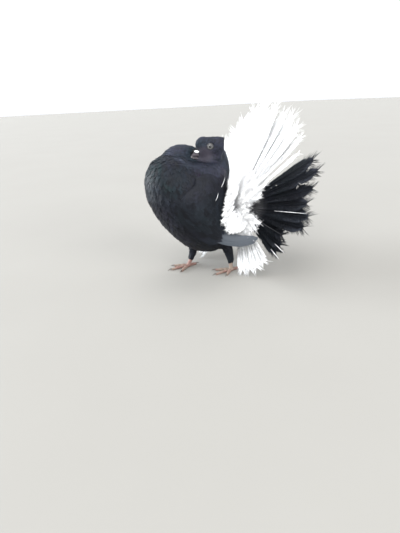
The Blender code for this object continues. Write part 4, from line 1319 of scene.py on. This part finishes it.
def tube_rings(path, radii, sides):
    """Rings round a path, none below the floor."""
    way = unit(np.gradient(path, axis=0))
    across = unit(np.cross(way, np.where(np.abs(way[:, 2:]) < 0.9, Z_AXIS, Y_AXIS)))
    up = np.cross(across, way)
    turn = np.linspace(0, 2 * math.pi, sides, endpoint=False)
    radii = radii[:, None]
    rings = (path[:, None] + scaled(across[:, None], radii * np.cos(turn))
             + scaled(up[:, None], radii * np.sin(turn)))
    rings[..., 2] = np.maximum(rings[..., 2], 0)
    return rings


def make_foot(hand, look, claw_look):
    """Toes, pad and bare shank grown together, with scutes along their tops and pads beneath."""
    lofts = []
    t = np.linspace(0, 1, 22)
    radius = TOE_RADIUS * (1 - 0.36 * t) * (1 + 0.10 * np.cos(2 * math.pi * t * 3))
    for toe in TOE_LENGTH:
        start, way, length = toe_line(hand, toe)
        path = start + scaled(way, length * t) + scaled(Z_AXIS, radius * 0.8 + 0.44 * np.sin(math.pi * t))
        lofts.append(tube_rings(path, radius, 14))
    t = np.linspace(0, 1, 12)
    shank = leg_path(hand, SHANK_LOW + (SHANK_HIGH - SHANK_LOW) * t)
    lofts.append(tube_rings(shank, SHANK_RADIUS * (1 + 0.16 * (1 - t) ** 3), 16))
    lofts.append(ball(FOOT[hand] - Z_AXIS * PAD_SIZES[2], (X_AXIS, Y_AXIS, Z_AXIS), PAD_SIZES, 10, 18, 0.1))
    blocks = [(capped(rings), loft_faces(*rings.shape[:2])) for rings in lofts]
    thing = mesh_object(f"{hand}_foot_skin", *join(blocks))
    melt(thing, *FOOT_MELT)
    scute(thing, hand)
    dress(thing, look, "foot_skin", f"foot_{hand}")
    t = np.linspace(0, 1, 14)
    drop = 2.1 + 0.5 * np.sin(3 * t) - 1.35 * t * t
    for toe in TOE_LENGTH:
        start, way, length = toe_line(hand, toe)
        run = length - CLAW_ROOT + (CLAW_GAP + CLAW_LENGTH + CLAW_ROOT) * t
        rings = tube_rings(start + scaled(way, run) + scaled(Z_AXIS, drop), 1.25 * (1 - t) ** 0.8 + 0.10, 12)
        closed_loft(f"{hand}_{toe}_claw", rings, claw_look, "claw_horn", f"claw_{hand}_{toe}")


def scute(thing, hand):
    """Raises the overlapping scutes of the toes and the shank on a foot's mesh."""
    surface = Surface(thing)
    points, normals = surface.points, surface.normals
    best, along = np.full(len(points), 1e9), np.zeros(len(points))
    for toe in TOE_LENGTH:
        start, way, length = toe_line(hand, toe)
        off = points - start
        run = np.clip(off @ way, 0, length)
        away = np.linalg.norm(off - scaled(way, run) - Z_AXIS * 2, axis=1)
        along = np.where(away < best, run, along)
        best = np.minimum(best, away)
    high = points[:, 2] > 6.5
    along = np.where(high, points[:, 2], along)
    step = (along / SCUTE_STEP) % 1.0
    plate = SCUTE_HIGH * (1 - step) ** 0.5 * np.clip(step * 8, 0, 1)
    pads = PAD_HIGH * np.abs(np.sin(along * math.pi / PAD_STEP))
    top = np.where(high, np.clip(0.6 - normals[:, 1], 0, 1), np.clip(normals[:, 2] * 1.6, 0, 1))
    under = np.clip(-normals[:, 2] * 1.5, 0, 1) * ~high
    moved = points + scaled(normals, plate * top + pads * under)
    moved[:, 2] = np.maximum(moved[:, 2], 0)
    put_points(thing.data, moved)
    thing.data.update()


# The stage


def make_stage():
    """A plain pale floor, soft lights and the viewpoint."""
    bpy.ops.mesh.primitive_plane_add(size=FLOOR_SIZE)
    floor = bpy.context.object
    floor.name = "floor"
    floor.data.materials.append(mottled("pale_floor", 3.0, (0.262, 0.252, 0.230), (0.290, 0.280, 0.257),
                                        0.75, 0.05, (200.0, 3.0), (0.05, 0.0005)))
    scene = bpy.context.scene
    for name, (place, power, colour) in LIGHTS.items():
        light = bpy.data.lights.new(name, "SUN")
        light.angle = LIGHT_ANGLE
        light.energy = power
        light.color = colour
        lamp = bpy.data.objects.new(name, light)
        lamp.rotation_euler = (-Vector(place)).to_track_quat("-Z", "Y").to_euler()
        scene.collection.objects.link(lamp)
    scene.world = bpy.data.worlds.new("room")
    scene.world.use_nodes = True
    for socket, value in zip(scene.world.node_tree.nodes["Background"].inputs, ROOM_LIGHT):
        socket.default_value = value
    scene.view_settings.view_transform = "Standard"

    ahead = np.array((-math.sin(VIEW_TURN), math.cos(VIEW_TURN), 0))
    level = np.array((math.cos(VIEW_TURN), math.sin(VIEW_TURN), 0))
    back = Z_AXIS * math.sin(VIEW_DOWN) - ahead * math.cos(VIEW_DOWN)
    upright = ahead * math.sin(VIEW_DOWN) + Z_AXIS * math.cos(VIEW_DOWN)
    right = level * math.cos(VIEW_TILT) - upright * math.sin(VIEW_TILT)
    up = upright * math.cos(VIEW_TILT) + level * math.sin(VIEW_TILT)
    turned = np.eye(4)
    turned[:3] = np.column_stack([right, up, back, VIEW_PLACE * MM + ORIGIN])
    camera = bpy.data.objects.new("camera", bpy.data.cameras.new("camera"))
    camera.matrix_world = Matrix(turned.tolist())
    camera.data.lens = VIEW_LENS
    camera.data.clip_start = VIEW_NEAR
    scene.collection.objects.link(camera)
    scene.camera = camera


def main():
    """Makes the finishes, then the pieces, then the stage."""
    black = black_plumage("black_plumage_sheen", 0.15, 1.15)
    lustrous = black_plumage("black_plumage_lustrous", 0.45, 1.2)
    # The head's black, 2.7 times paler than the body's: painted light for the light falling on the head.
    painted_light_head_black = black_plumage("black_plumage_painted_light_head", 0.25, 2.7, FACE_PAINTED_LIGHT)
    slate = slate_plumage("slate_flight_feathers")
    white = white_plumage("white_silky_feathers")
    black_tail = black_plumage("black_tail_feathers", 0.1, 1.3, TAIL_PATCH, 0.35)
    bill = horn("bill_horn_grey", (0.085, 0.070, 0.082), (0.036, 0.030, 0.037), 0.45, BILL_TIP)
    claw = horn("claw_horn_dark", (0.16, 0.14, 0.12), (0.06, 0.05, 0.045), 0.4)
    dark = horn("nostril_dark", (0.03, 0.02, 0.02), (0.012, 0.009, 0.009), 0.7)
    skin = mottled("dark_skin", 90.0, (0.005, 0.006, 0.008), (0.010, 0.012, 0.016),
                   0.7, 0.1, (900.0, 2.0), (0.3, 0.0002))
    lid = mottled("eyelid_skin", 700.0, (0.05, 0.05, 0.05), (0.10, 0.10, 0.10),
                  0.6, 0.1, (700.0, 3.0), (0.4, 0.0002))
    eye = eye_look("pale_eye")
    make_body_feathers(make_skin(skin), painted_light_head_black, lustrous, black)
    for hand, side in SIDES.items():
        make_wing("wing_" + hand, side, black, slate)
    make_tail(white, black_tail)
    for place in COVERTS:
        make_root_cushion(place, white)
    for place in COVERTS:
        make_coverts(place, white)
    for hand, side in SIDES.items():
        make_flank_down("flank_down_" + hand, side, white)
    for hand, side in SIDES.items():
        make_eye("eye_" + hand, side, eye)
        make_lid("eyelid_" + hand, side, lid)
    make_bill(bill, powder("cere_powdery"), dark)
    for hand in SIDES:
        make_foot(hand, foot_look("foot_scales_" + hand), claw)
    make_stage()


main()
